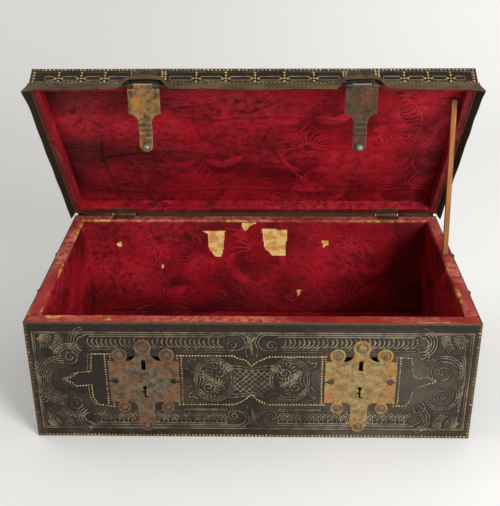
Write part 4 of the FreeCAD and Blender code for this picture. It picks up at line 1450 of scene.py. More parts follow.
    def plain_side(self, side: str, place: Place, width: float, windows: list[Window]) -> None:
        """Makes a side with a border, a band of gadroons round a field and roundels in it.

        Args:
            side: The side's name.
            place: Where it lies.
            width: Its width.
            windows: Where it is cut out.
        """
        panel = Panel(place, width, self.trunk.height - self.lift, self.trunk.skin, self.side_cell, windows)
        tooling = Tooling(panel)
        tooling.frame_lines(self.border, self.low, self.high, (0, 3.4, 32, 36))
        half = width / 2
        edge = half - self.border - 4
        tooling.hatch(26, edge - 36, self.high - 30, self.high - 7, 12, 9, -0.22, both=True)
        tooling.hatch(26, edge - 36, self.low + 7, self.low + 30, 12, 9, 0.22, both=True)
        for z, start in ((self.high - 19, 1), (self.low + 19, -1)):
            tooling.draw(volute((14, z), 11, 1.5, 90 * start, 1.6 * start),
                         volute((edge - 17, z), 13, 2, 90 * start, -1.7 * start), both=True)
        for z in np.arange(self.low + 46, self.high - 40, 13):
            tooling.draw(bowed((edge - 4, z), (edge - 25, z + 9), 0.25), both=True)
        z, pitch = (self.low + self.high) / 2, 92
        for x in np.arange(0, half - 90, pitch):
            tooling.arcs((x, z), (36, 32, 7), 0, 360, both=x > 0)
            tooling.fan((x, z), 10, 29, 0, 337.5, 16, 0.28, both=x > 0)
        for x in np.arange(pitch / 2, half - 60, pitch):
            tooling.draw(volute((x, z + 27), 9, 1.5, 270, 1.4), volute((x, z - 27), 9, 1.5, 90, -1.4),
                         both=True)
            tooling.fan((x, z), 5, 16, 0, 315, 8, both=True)
        self.hide(side, tooling)

    def build(self) -> None:
        """Makes the leather of all four sides."""
        trunk = self.trunk
        back, top = trunk.depth / 2 - trunk.skin, trunk.height - self.lift
        sides = upright_sides(trunk.width / 2, -back, back, self.lift, ends_in=trunk.skin)
        self.front(*sides["front"])
        self.plain_side("back", *sides["back"], leaf_windows(trunk.width, top - trunk.leaf, top))
        for end in ("left", "right"):
            self.plain_side(end, *sides[end], [])


@dataclass
class LidLeather:
    """The tooled leather of the lid: its top, its band with studs and pale frames, and its lip."""

    trunk: Trunk = TRUNK
    top_cell: float = 2.05
    band_cell: float = 1.5
    swelling: float = 0.5
    stud_radius: float = 2.25
    stud_pitch: float = 6.1
    inset: float = 5
    row_low: float = 4.6
    row_high: float = 32.6
    frame_low: float = 11
    frame_high: float = 18.5
    frame_end: float = 7
    frame_corner: float = 1.6
    frame_wire: float = 0.9
    hasp_gap: float = 37
    lip_step: float = 3
    lip_thickness: float = 1.8

    # Where the upright clusters and rows of studs stand on the front band, from its middle
    CLUSTERS = (-305, -269, -232, -88, -41.6, 4, 50, 96, 237, 274, 309)
    DOUBLE_ROWS = (-190, -185, -142, -137, 142.5, 147.5, 192.5, 197.5)
    # The lip's section, out from the band and up from the rim, and how it lies over a hasp
    LIP_SECTION = ((0.9, 4), (1.1, 0), (3.6, -6.5), (6.6, -12.2))
    LIP_RAISED = ((3.6, 16), (3.6, 10.5), (5.4, 7.4), (9.2, 5.2))

    def build(self) -> None:
        """Makes the lid's leather, studs, frames and lip."""
        self.top()
        self.bands()
        self.front_trim()
        self.lip()
        self.hinge_strip()

    def top(self) -> None:
        """Makes the top: a border, a band of gadroons and a leafy field with five roundels."""
        trunk = self.trunk
        half, depth = trunk.width / 2, trunk.depth
        place = Place((-half, trunk.lid_front, trunk.lid_top - trunk.skin), (1, 0, 0), (0, 1, 0), UP, True)
        panel = Panel(place, trunk.width, depth, trunk.skin, self.top_cell)
        tooling = Tooling(panel)
        tooling.frame_lines(12, 12, depth - 12, (0, 4, 40, 44, 92, 96))
        for low, high, bow in ((depth - 50, depth - 19, -0.22), (19, 50, 0.22)):
            tooling.hatch(24, half - 56, low, high, 8.6, 10, bow, both=True)
        for z in np.arange(60, depth - 66, 9):
            tooling.draw(bowed((half - 20, z), (half - 48, z + 9), 0.25), both=True)
        middle, pitch = depth / 2, 104
        for x in np.arange(0, half - 120, pitch):
            tooling.arcs((x, middle), (42, 38, 8), 0, 360, both=x > 0)
            tooling.fan((x, middle), 11, 35, 0, 337.5, 16, 0.28, both=x > 0)
        for x in np.arange(pitch / 2, half - 100, pitch):
            for side in (-1, 1):
                tooling.draw(volute((x, middle + 30 * side), 11, 1.5, -90 * side, 1.5 * side), both=True)
        for x in np.arange(20, half - 110, 26):
            for z, side in ((72, 1), (depth - 72, -1)):
                spine = smooth([(x, z - 20 * side), (x + 8, z), (x + 2, z + 18 * side)])
                tooling.plume(spine, 9, 5, side, both=True)
        for x in (half - 34, half - 74):
            for z in (34, depth - 34):
                tooling.draw(volute((x, z), 14, 2, 90, 1.8), both=True)
        relief = (tooling.relief(self.swelling) + 0.2 * panel.waves(110, 90, 3)
                  - 1.2 * np.exp(-panel.edge() / 1.3))
        values = {"line": tooling.line, "plain": tooling.plain, "worn": panel.rubbed(6)}
        piece = panel.build("lid_top_leather_skin", "lid", relief, values)
        dress(piece, Finish.TOOLED, "lid_top_leather")
        rows = StudRows(place, trunk.width, self.stud_radius, 6.6)
        side, low, high = half - self.inset, self.inset, depth - self.inset
        rows.row([(-side, low), (side, low), (side, high), (-side, high), (-side, low)], 0.62)
        rows.make("lid_top_studs", "lid")

    def bands(self) -> None:
        """Makes the four strips of the lid's band, with a stud row along the top and the rim."""
        trunk, skin = self.trunk, self.trunk.skin
        sides = upright_sides(trunk.width / 2, trunk.lid_front + skin, trunk.lid_back - skin, trunk.lid_rim,
                              ends_in=skin, on_lid=True)
        for name, (place, width) in sides.items():
            windows = leaf_windows(width, 0, trunk.leaf + trunk.fit) if name == "back" else []
            panel = Panel(place, width, trunk.lid_height - skin, skin, self.band_cell, windows)
            tooling = Tooling(panel)
            tooling.frame_lines(8, 8, 28.5, (0,))
            if name != "front":
                tooling.hatch(12, width / 2 - 16, 10, 26, 9, 6, -0.2, both=True)
            relief = tooling.relief(0.35) + 0.15 * panel.waves(60, 30, 5)
            values = {"line": tooling.line, "plain": tooling.plain + (name == "front"),
                      "worn": panel.rubbed(3)}
            piece = panel.build(f"lid_{name}_band_skin", "lid", relief, values)
            dress(piece, Finish.TOOLED, "lid_band_leather")
            rows = StudRows(place, width, self.stud_radius, self.stud_pitch)
            side = width / 2 - self.inset
            rows.row([(-side, self.row_high), (side, self.row_high)], 0.55)
            if name == "front":
                self.clusters(rows, side)
            else:
                rows.row([(-side, 6), (side, 6)], 0.5)
            rows.make(f"lid_{name}_band_studs", "lid")

    def clusters(self, rows: StudRows, side: float) -> None:
        """Sets the front band's lower row and its upright clusters and rows of studs.

        Args:
            rows: The band's studs.
            side: How far the rows reach to each side.
        """
        near, far = self.trunk.lock_x - self.hasp_gap, self.trunk.lock_x + self.hasp_gap
        for low, high in ((-side, -far), (-near, near), (far, side)):
            rows.row([(low, self.row_low), (high, self.row_low)], 0.85, 6.4)
        for x in (-side, side):
            rows.row([(x, 9), (x, 27)], 0.85, 6.5)
        middle, arm = (self.frame_low + self.frame_high) / 2, 5
        for x in self.CLUSTERS:
            rows.row([(x, 9.4), (x, 27)], 0.95, 5.4)
            rows.row([(x - arm, middle), (x + arm, middle)], 0.95, 2 * arm)
        for x in self.DOUBLE_ROWS:
            above_lip = 13.5 if abs(abs(x) - self.trunk.lock_x) > 30 else 19.5
            rows.row([(x, above_lip), (x, 28)], 0.9, 5.4)

    def front_trim(self) -> None:
        """Makes the narrow pale frames that lie between the clusters, as rings of flat wire.

        Each is an oblong with rounded corners, and its section is carried round it.
        """
        trunk, wire = self.trunk, self.frame_wire
        stops = sorted([-333.0, *self.CLUSTERS, *self.DOUBLE_ROWS, 338.0])
        middle, half_height = (self.frame_low + self.frame_high) / 2, (self.frame_high - self.frame_low) / 2
        turn = np.linspace(0, 2 * math.pi, 24, endpoint=False)
        section = np.array([(-wire, -0.3), (-0.7 * wire, 0.8), (0.7 * wire, 0.8), (wire, -0.3)])
        place = Place((0, trunk.lid_front, trunk.lid_rim), (1, 0, 0), UP, (0, -1, 0), True)
        points = []
        for low, high in zip(stops, stops[1:]):
            half_width = (high - low) / 2 - self.frame_end
            if half_width < 4 or any(low < lock < high for lock in (-trunk.lock_x, trunk.lock_x)):
                continue
            straight = np.array([half_width, half_height]) - self.frame_corner
            round_it = np.stack([np.cos(turn), np.sin(turn)], -1)
            ring = ((low + high) / 2, middle) + np.sign(round_it) * straight + self.frame_corner * round_it
            ahead = np.roll(ring, -1, 0) - np.roll(ring, 1, 0)
            ahead /= np.linalg.norm(ahead, axis=1, keepdims=True)
            normal = np.stack([ahead[:, 1], -ahead[:, 0]], -1)
            flat = ring[:, None, :] + normal[:, None, :] * section[None, :, :1]
            out = np.broadcast_to(section[:, 1], flat.shape[:2])
            points.append(place.points(flat[..., 0], flat[..., 1], out).reshape(-1, 3))
        skin = ringed(len(turn), len(section), looped=True)
        faces = [skin + number * len(points[0]) for number in range(len(points))]
        piece = mesh_object("lid_band_frames", np.concatenate(points), faces, "lid")
        dress(piece, Finish.RUSTY, look="pale_trim")

    def lip(self) -> None:
        """Makes the flared lip as one strip of hide round the two ends and the front.

        Its section is a smooth curve that leaves the band and flares outwards and down. Over
        each hasp it changes into a higher one, and it hangs lowest at the two front corners.
        """
        trunk, step = self.trunk, self.lip_step
        half = trunk.width / 2
        run_end = np.arange(trunk.lid_back, trunk.lid_front, -step)
        run_front = np.arange(-half, half, step)
        end, front = len(run_end), len(run_front)
        x = np.concatenate([np.full(end, -half), run_front, np.full(end + 1, half)])
        y = np.concatenate([run_end, np.full(front + 1, trunk.lid_front), run_end[::-1]])
        out_x = np.concatenate([np.full(end + 1, -1.0), np.zeros(front - 1), np.full(end + 1, 1.0)])
        out_y = np.concatenate([np.zeros(end), np.full(front + 1, -1.0), np.zeros(end)])
        on_front = out_y < 0
        away = np.abs(np.abs(x) - trunk.lock_x)
        arch = unit((42 - away) / 18) * on_front
        arch = (arch * arch * (3 - 2 * arch))[:, None, None]
        control = np.array(self.LIP_SECTION) * (1 - arch) + np.array(self.LIP_RAISED) * arch
        control[:, :, 1] += 2.2 * unit(1 - (away[:, None] / 24) ** 2) * on_front[:, None]
        rng = np.random.default_rng(SEED)
        ripple = np.convolve(rng.normal(0, 1, len(x) + 24), np.hanning(25), "valid") * 0.16
        corner_drop = np.exp(-np.hypot(np.abs(x) - half, y - trunk.lid_front) / 16)
        control[:, 3, 1] += ripple - 5.5 * corner_drop
        control[:, 2, 1] += 0.4 * ripple - 2 * corner_drop
        control[:, 3, 0] += 0.8 * np.roll(ripple, 9)
        line = np.einsum("mk,skc->smc", smooth(np.eye(4), 4), control)
        ahead = np.gradient(line, axis=1)
        ahead /= np.linalg.norm(ahead, axis=2, keepdims=True)
        normal = np.stack([-ahead[..., 1], ahead[..., 0]], -1)
        thick = self.lip_thickness / 2 * np.linspace(1, 0.7, line.shape[1])[None, :, None]
        section = np.concatenate([line + normal * thick, (line - normal * thick)[:, ::-1]], 1)
        edge_x = x[:, None] + out_x[:, None] * section[..., 0]
        edge_y = y[:, None] + out_y[:, None] * section[..., 0]
        points = opened(np.stack([edge_x, edge_y, trunk.lid_rim + section[..., 1]], -1))
        # Painted shade on the lip's two ends, deeper on the left; a little dirt in front.
        soiled_and_shade = np.where(on_front, 0.1, np.where(x < 0, 1.0, 0.8))
        soiled_and_shade = np.broadcast_to(soiled_and_shade[:, None], section.shape[:2])
        piece = tube("lid_lip_hide", points, "lid", {"soiled_and_shade": soiled_and_shade})
        dress(piece, Finish.LIP, "lid_front_lip", "lid_left_lip", "lid_right_lip")

    def hinge_strip(self) -> None:
        """Closes the gap behind the lid with a strip of hide, shaped to the open lid.

        It is glued to the backs of the base and the lid, and is cut away at the two hinges.
        """
        trunk = self.trunk
        proud, half_thick = 1.15, 0.45
        y, z = trunk.depth / 2 + proud, trunk.height
        on_lid = opened(np.array([(0, trunk.lid_back + proud, rise) for rise in (0.8, 2.4, 3.9)]))[:, 1:]
        line = smooth([(y, z - 6.5), (y, z - 3.5), (y, z - 0.6), *on_lid.tolist()], 3)
        ahead = np.gradient(line, axis=0)
        ahead /= np.linalg.norm(ahead, axis=1, keepdims=True)
        side = np.stack([ahead[:, 1], -ahead[:, 0]], -1) * half_thick
        section = np.concatenate([line + side, (line - side)[::-1]])
        end, gap = trunk.width / 2 - 5, trunk.hinge_width / 2 + 1.2
        runs = (("left", -end, -trunk.hinge_x - gap), ("middle", gap - trunk.hinge_x, trunk.hinge_x - gap),
                ("right", trunk.hinge_x + gap, end))
        for name, low, high in runs:
            x = np.linspace(low, high, max(4, int((high - low) / 12)))
            points = np.empty((len(x), len(section), 3))
            points[..., 0] = x[:, None]
            points[..., 1:] = section
            # Darkened nearly as much as the lip's ends, by the same mask.
            piece = tube(f"{name}_hinge_strip", points, None, {"soiled_and_shade": np.full(points.shape[:2], 0.9)})
            dress(piece, Finish.LIP)
            y * MM
            (z - 0.6) * MM
            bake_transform(piece)


@dataclass(frozen=True)
class RoundedEdge:
    """Where the rim cloth lies: flat across the rim and then rolled down over its inner edge.

    u runs along the rim, v from the outer edge across the top and round the roll, and w out
    of the cloth.
    """

    side: Place
    flat: float
    radius: float

    @property
    def girth(self) -> float:
        """The cloth's whole width, over the flat and round the roll."""
        return self.flat + self.radius * math.pi / 2

    def points(self, u: Array, v: Array, w: Array) -> Array:
        """Bends the cloth over the roll: straight as far as the flat goes, and then an arc.

        Args:
            u: How far along the rim.
            v: How far over the cloth.
            w: How far out of the cloth.

        Returns:
            The points of the cloth.
        """
        turn = np.clip((v - self.flat) / self.radius, 0, math.pi / 2)
        across = np.minimum(v, self.flat) + (self.radius + w) * np.sin(turn)
        return self.side.points(u, (self.radius + w) * np.cos(turn) - self.radius, -across)


@dataclass
class Damasking:
    """The woven figure of the silk: large open flowers among long veined leaves.

    It is a common drawloom layout, with each flower half a step up from its neighbours.
    """

    step: float = 190
    rise: float = 250
    flower: float = 36
    petals: int = 10

    def bloom(self, cloth: Tooling, x: float, z: float) -> None:
        """Weaves a flower of long curled petals round a ringed heart.

        Args:
            cloth: The cloth's grid.
            x: Where the flower's heart lies across.
            z: Where it lies up.
        """
        cloth.arcs((x, z), (5, 9), 0, 360)
        for turn in 2 * math.pi * np.arange(self.petals) / self.petals + 0.2:
            ray = np.array([math.cos(turn), math.sin(turn)])
            petal = bowed((x, z) + ray * 10, (x, z) + ray * self.flower, 0.2)
            cloth.swell(petal, np.array([0.8, 3.2, 4.2, 3.0, 0.6]))
            cloth.draw(petal, bowed((x, z) + ray * 13, (x, z) + ray * self.flower * 1.12, -0.16))

    def palmette(self, cloth: Tooling, x: float, z: float) -> None:
        """Weaves a fan of palm blades over a calyx.

        Args:
            cloth: The cloth's grid.
            x: Where the blades meet across.
            z: Where they meet up.
        """
        for turn in np.radians(np.linspace(-20, 200, 13)):
            ray = np.array([math.cos(turn), math.sin(turn)])
            blade = bowed((x, z) + ray * 12, (x, z) + ray * 52, 0.14 * math.copysign(1, ray[0]))
            cloth.swell(blade, np.array([0.8, 2.2, 3.2, 2.2, 0.5]))
            cloth.draw(blade)
        cloth.arcs((x, z), (9, 13), -20, 200)
        cloth.draw(arc((x, z - 12), 26, 215, 325, 0.6))
        cloth.fan((x, z - 6), 8, 26, 210, 330, 7, 0.1)

    def frond(self, cloth: Tooling, spine: Array, side: float) -> None:
        """Weaves a broad leaf with veins like a comb on both sides of its rib.

        Args:
            cloth: The cloth's grid.
            spine: The rib's points.
            side: Which side has the longer veins.
        """
        share = np.linspace(0, 1, len(spine))
        cloth.swell(spine, 1 + 9 * np.sin(math.pi * share) ** 0.8)
        cloth.plume(spine, 15, 4.4, side)
        cloth.plume(spine, 11, 4.4, -side)

    def weave(self, cloth: Tooling, x_from: float, z_from: float) -> None:
        """Weaves the whole figure over a panel.

        Args:
            cloth: The cloth's grid.
            x_from: Where one of its flowers lies across.
            z_from: Where that flower lies up.
        """
        for i, j in np.ndindex(13, 7):
            x = x_from + (i - 6) * self.step
            z = z_from + (j - 3) * self.rise + (i % 2) * self.rise / 2
            if (abs(x) > cloth.middle + self.step / 2
                    or not -self.rise / 2 < z < cloth.panel.height + self.rise / 2):
                continue
            self.bloom(cloth, x, z)
            self.palmette(cloth, x, z + self.rise / 2 - 12)
            for side in (-1, 1):
                low, high, stem = (smooth([(x + across * side, z + up) for across, up in path]) for path in (
                    ((8, -44), (30, -62), (52, -58), (74, -36)), ((10, 40), (34, 52), (50, 78), (46, 104)),
                    ((0, -38), (4, -70), (26, -96), (60, -92))))
                self.frond(cloth, low, side)
                self.frond(cloth, high, -side)
                cloth.draw(stem, volute((x + 72 * side, z + 8), 13, 2, 180, 1.4 * side))
                cloth.fan((x + 30 * side, z - 96), 4, 22, 200, 340, 9, 0.18)


@dataclass
class Lining:
    """The crimson silk inside the base and the lid, panel by panel, and over their rims."""

    trunk: Trunk = TRUNK
    figure: Damasking = field(default_factory=Damasking)
    cell: float = 2.1
    plain_cell: float = 2.6
    lid_cell: float = 2.4
    rim_cell: float = 1.5
    lid_cloth: float = 1.5
    rim_cloth: float = 1.4
    rim_round: float = 3.8
    nailed: float = 16

    # The tears and chips of the rear wall, across from its middle and up from the floor
    TEARS = (((-102, 182), (-91, 176), (-88.7, 144), (-78, 127), (-65, 126.5), (-62, 136), (-57, 182)),
             ((14, 186), (63, 185), (59.4, 129), (33.4, 129), (18.3, 147), (16, 166)),
             ((-270.6, 153), (-260.3, 158), (-258.6, 147), (-265, 146)),
             ((-184, 109), (-178.5, 108), (-181, 96)),
             ((130, 162), (142.5, 162.5), (142.5, 152), (132.5, 145.5)),
             ((83, 50), (92.5, 51), (87, 36)),
             ((-25, 200), (7, 200), (-9, 192), (-18, 181), (-23, 186)))
    # Its round stains: across, up, and how far they reach each way
    STAINS = ((-187, 168, 13, 9), (-131, 168, 11, 8), (-150, 60, 30, 18))
    # The large fans of rays: across and up their panel, and from which angle to which
    RAYS = {"lid_roof_silk": ((196, 238, -58, 58), (-196, 238, 122, 238), (92, 70, 200, 330)),
            "base_back_silk": ((-64, 112, 150, 232), (118, 60, 10, 95)), "floor_silk": ((150, 170, -60, 60),)}
    # The roof's sharp creases, across from its middle and forward from its back
    CREASES = (((-130, 262), (-60, 256), (40, 264), (150, 250)), ((-262, 150), (-150, 168), (-40, 150)),
               ((-310, 42), (-180, 30), (-30, 44), (120, 33), (300, 42)), ((20, 206), (58, 120), (92, 62)),
               ((-262, 60), (-272, 150), (-258, 255)), ((180, 300), (240, 280), (300, 296)),
               ((-220, 300), (-150, 286), (-70, 300)))

    def cloth(self, name: str, node: str, body: str, place: Place | RoundedEdge, width: float, height: float,
              rests_on: str, finish: Finish = Finish.DAMASK, thickness: float = TRUNK.lining,
              cell: float | None = None, loose: float = 0.8, creases: Pair = (60, 40),
              origin: Pair = (0, 100), windows: list[Window] | None = None, shaded: bool = False,
              wear: float = 0.25, look: str | None = None) -> None:
        """Makes one panel of silk, stretched over its board and nailed along its edges.

        Args:
            name: The piece's name.
            node: The plain panel that it stands for.
            body: The body that carries it.
            place: Where it lies.
            width: Its width.
            height: Its height.
            rests_on: The board behind it; not used.
            finish: Its finish.
            thickness: Its thickness.
            cell: Its grid's cell, or the lining's own.
            loose: How far it stands off the board between its nails.
            creases: How long its creases are across and up.
            origin: Where one flower of its figure lies.
            windows: Where it is cut out.
            shaded: Whether painted shade darkens it towards its foot.
            wear: How worn pale it is.
            look: Another material's name, where it isn't its finish's own.
        """
        panel = Panel(place, width, height, thickness, cell or self.cell, windows or [])
        weave = Tooling(panel)
        self.figure.weave(weave, *origin)
        for x, z, start, end in self.RAYS.get(name, ()):
            weave.fan((x, z), 16, 58, start, end, 15, 0.05)
            weave.fan((x, z), 60, 84, start + 4, end - 4, 14, -0.12)
            weave.draw(arc((x, z), 11, 0, 360), arc((x, z), 88, start, end))
        seed = len(name) + int(width)
        near = panel.edge()
        wave = panel.waves(creases[0], creases[1], seed)
        fold = panel.waves(creases[0] * 0.3, creases[1] * 0.22, seed + 1)
        held = 1 - np.exp(-near / self.nailed)
        relief = loose * held * (0.9 + 0.65 * wave + 0.3 * fold) - 0.4 * np.exp(-near / 1.2)
        torn = np.zeros(near.shape)
        # Painted shade: the base's walls darken towards the floor and towards their edges.
        shadow = (shaded * 0.5 * unit(1 - panel.z / 95) * (1 - unit(near / 60) * 0.3)
                  * np.clip(1 + 0.5 * wave, 0, 1.5))
        stain_and_shade = shadow
        worn = 0.8 * unit(wear + 0.3 * panel.waves(90, 70, seed + 2))
        if name == "base_back_silk":
            for outline in self.TEARS:
                torn[weave.inside(outline)] = 1
            relief -= 1.2 * torn
            for x, z, wide, tall in self.STAINS:
                stain_and_shade = np.maximum(stain_and_shade, unit(1.25 - np.hypot((weave.x - x) / wide, (panel.z - z) / tall)))
            stain_and_shade = np.maximum(stain_and_shade * unit(0.6 + 0.4 * fold), shadow)
        elif finish is Finish.RIM:
            outer, inner = (panel.x, width - panel.x) if width < height else (panel.z, height - panel.z)
            patches = panel.waves(46, 30, seed + 3)
            torn = unit(np.exp(-inner / 4.5) * (0.45 + 0.5 * patches) + unit(patches - 1.9)
                        + 0.8 * np.exp(-outer / 2.6) * (0.35 + 0.5 * panel.waves(60, 30, seed + 5)))
            # The base's back rim is worn paler than the others: partly wear, partly painted light, as the lid
            # shades it.
            worn = unit((0.9 if "base_back" in name else 0.35) + 0.4 * panel.waves(60, 30, seed + 4))
        elif name == "lid_roof_silk":
            folds = Tooling(panel, 14)
            folds.draw(*(smooth(list(crease)) for crease in self.CREASES))
            relief = (relief + 1.5 * bell(folds.line, 3.2)) * unit((near - 19) / 24)
            # Drawn flat where the stick lies under the shut lid
            relief *= unit(np.maximum(np.abs(panel.z - 301) - 14, 376 - panel.x) / 18)
            # Painted shade: the roof darkens towards its left end and along its sharp creases.
            left = unit(1 - panel.x / 280)
            stain_and_shade = 0.95 * unit(left + 0.25 * wave * (0.4 + left)) + 0.3 * np.exp(-folds.line / 2.2)
        values = {"line": weave.line, "leaf": weave.leaf, "torn": torn, "stain_and_shade": stain_and_shade, "worn": worn}
        piece = panel.build(name, body, np.maximum(relief, -0.8 * thickness), values)
        dress(piece, finish, node, look=look)
        gap = sum((right - left) * (high - low) for left, right, low, high in panel.windows)
        width * MM
        height * MM
        (width * height - gap) * MM * MM

    def base_walls(self) -> None:
        """Lines the four walls and the floor of the base."""
        trunk = self.trunk
        x, y = (size / 2 - trunk.base_wall + trunk.lining for size in (trunk.width, trunk.depth))
        low = trunk.floor_top
        sides = upright_sides(x, -y, y, low, short=trunk.lining, inwards=True)
        for name, origin, loose, cell, wear in (
                ("back", (193, 155), 0.9, self.cell, 0.2), ("front", (60, 60), 0.8, self.plain_cell, 0.35),
                ("left", (20, 120), 0.8, self.plain_cell, 0.35),
                ("right", (-30, 120), 0.8, self.plain_cell, 0.35)):
            self.cloth(f"base_{name}_silk", f"base_{name}_cloth", "trunk_base", *sides[name],
                       trunk.height - trunk.rim - low, f"base_{name}_board", cell=cell, loose=loose,
                       creases=(70, 50), origin=origin, shaded=True, wear=wear)
        self.cloth("floor_silk", "floor_cloth", "trunk_base",
                   Place((-x, -y, low - trunk.lining), (1, 0, 0), (0, 1, 0), UP), 2 * x, 2 * y,
                   "base_floor_board", cell=self.plain_cell, creases=(110, 80), origin=(-60, 170), wear=0.1)

    def base_rim(self) -> None:
        """Covers the rim of the base with four strips rolled over its inner edge."""
        trunk = self.trunk
        x, y = trunk.width / 2 - trunk.skin, trunk.depth / 2 - trunk.skin
        wall = trunk.base_wall - trunk.skin
        sides = upright_sides(x, -y, y, trunk.height - self.rim_cloth, short=wall)
        for name, (side, length) in sides.items():
            edge = RoundedEdge(side, wall - self.rim_round, self.rim_round - self.rim_cloth)
            deep = trunk.leaf_depth + trunk.fit - trunk.skin
            windows = leaf_windows(length, 0, deep) if name == "back" else []
            self.cloth(f"base_{name}_rim_silk", "base_rim_cloth", "trunk_base", edge, length, edge.girth,
                       f"base_{name}_board", Finish.RIM, self.rim_cloth, self.rim_cell, 0.12, (24, 12),
                       (30, -20), windows)

    def lid(self) -> None:
        """Lines the roof and the four low walls of the lid."""
        trunk, cloth = self.trunk, self.lid_cloth
        x = trunk.width / 2 - trunk.lid_wall + cloth
        back, front = trunk.lid_back - trunk.lid_wall + cloth, trunk.lid_front + trunk.lid_wall - cloth
        low = trunk.lid_rim + trunk.lining
        place = Place((-x, back, trunk.lid_roof + cloth), (1, 0, 0), (0, -1, 0), (0, 0, -1), True)
        self.cloth("lid_roof_silk", "lid_top_cloth", "lid", place, 2 * x, back - front, "lid_top_board",
                   thickness=cloth, loose=1.3, creases=(190, 62), origin=(95, 60), wear=0.4)
        sides = upright_sides(x, front, back, low, inwards=True, on_lid=True)
        for name, (place, width) in sides.items():
            self.cloth(f"lid_{name}_silk", "lid_wall_cloth", "lid", place, width, trunk.lid_roof - low,
                       f"lid_{name}_board", thickness=cloth, cell=self.lid_cell, loose=0.3, creases=(40, 20),
                       wear=0.5)

    def lid_rim(self) -> None:
        """Covers the rim of the lid with four flat strips."""
        trunk = self.trunk
        low, edge = trunk.lid_rim + trunk.lining, trunk.width / 2 - trunk.skin
        rim = trunk.lid_wall - trunk.skin
        far, near = trunk.lid_front + trunk.skin, trunk.lid_back - trunk.skin
        deep = near - far - 2 * rim
        for name, x, y, width, height in (("front", -edge, far + rim, 2 * edge, rim),
                                          ("back", -edge, near, 2 * edge, rim),
                                          ("left", -edge, near - rim, rim, deep),
                                          ("right", edge - rim, near - rim, rim, deep)):
            self.cloth(f"lid_{name}_rim_silk", "lid_rim_cloth", "lid",
                       Place((x, y, low), (1, 0, 0), (0, -1, 0), (0, 0, -1), True), width, height,
                       f"lid_{name}_board", Finish.RIM, trunk.lining, self.rim_cell, 0.1, (24, 12),
                       windows=leaf_windows(width, 0, height) if name == "back" else [], look="lid_rim_silk")

    def build(self) -> None:
        """Makes every panel of silk."""
        for part in (self.base_walls, self.base_rim, self.lid, self.lid_rim):
            part()


def beaten(points: Array, size: float, seed: int) -> Array:
    """Smooth noise at scattered points, blended between a lattice of random heights.

    Args:
        points: The points.
        size: How far apart the lattice's heights are.
        seed: The noise's seed.

    Returns:
        A height for each point.
    """
    side = 32
    lattice = np.random.default_rng(SEED + seed).standard_normal((side, side, side))
    cell = np.floor(points / size).astype(int)
    share = points / size - cell
    share = share * share * (3 - 2 * share)
    total = np.zeros(len(points))
    for corner in np.ndindex(2, 2, 2):
        i, j, k = ((cell + corner) % side).T
        total += np.prod(np.where(corner, share, 1 - share), axis=1) * lattice[i, j, k]
    return total


def read(items: bpy.types.bpy_prop_collection, key: str, width: int = 3, kind: type = float) -> Array:
    """Reads one property of all of a mesh's points, corners or triangles at once.

    Args:
        items: The points, corners or triangles.
        key: The property's name.
        width: How many numbers each has.
        kind: The numbers' type.

    Returns:
        The numbers, a row for each.
    """
    numbers = np.empty((len(items), width), kind)
    items.foreach_get(key, numbers.ravel())
    return numbers


def remeshed(name: str, voxel: float) -> tuple[Array, Array, Array]:
    """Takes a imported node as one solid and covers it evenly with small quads.

    Args:
        name: The node's name.
        voxel: The size of a quad, in millimetres.

    Returns:
        The points in millimetres, their normals and the quads.
    """
    node = frame["nodes"][name]
    node.data.calc_loop_triangles()
    matrix = np.array(node.matrix_world)
    points = (read(node.data.vertices, "co") @ matrix[:3, :3].T + matrix[:3, 3]) / MM
    merged, index = np.unique(np.round(points, 4), axis=0, return_inverse=True)
    triangles = index.ravel()[read(node.data.loop_triangles, "vertices", 3, np.int32)]
    rough = bpy.data.meshes.new("rough")
    rough.from_pydata((merged * MM).tolist(), [], triangles.tolist())
    solid = add("rough", rough)
    modifier = solid.modifiers.new("even", "REMESH")
    modifier.mode = "VOXEL"
    modifier.voxel_size = voxel * MM
    fine = solid.evaluated_get(bpy.context.evaluated_depsgraph_get()).to_mesh()
    result = (read(fine.vertices, "co") / MM, read(fine.vertices, "normal"),
              read(fine.loops, "vertex_index", 1, np.int32).reshape(-1, 4))
    bpy.data.objects.remove(solid)
    bpy.data.meshes.remove(rough)
    return result


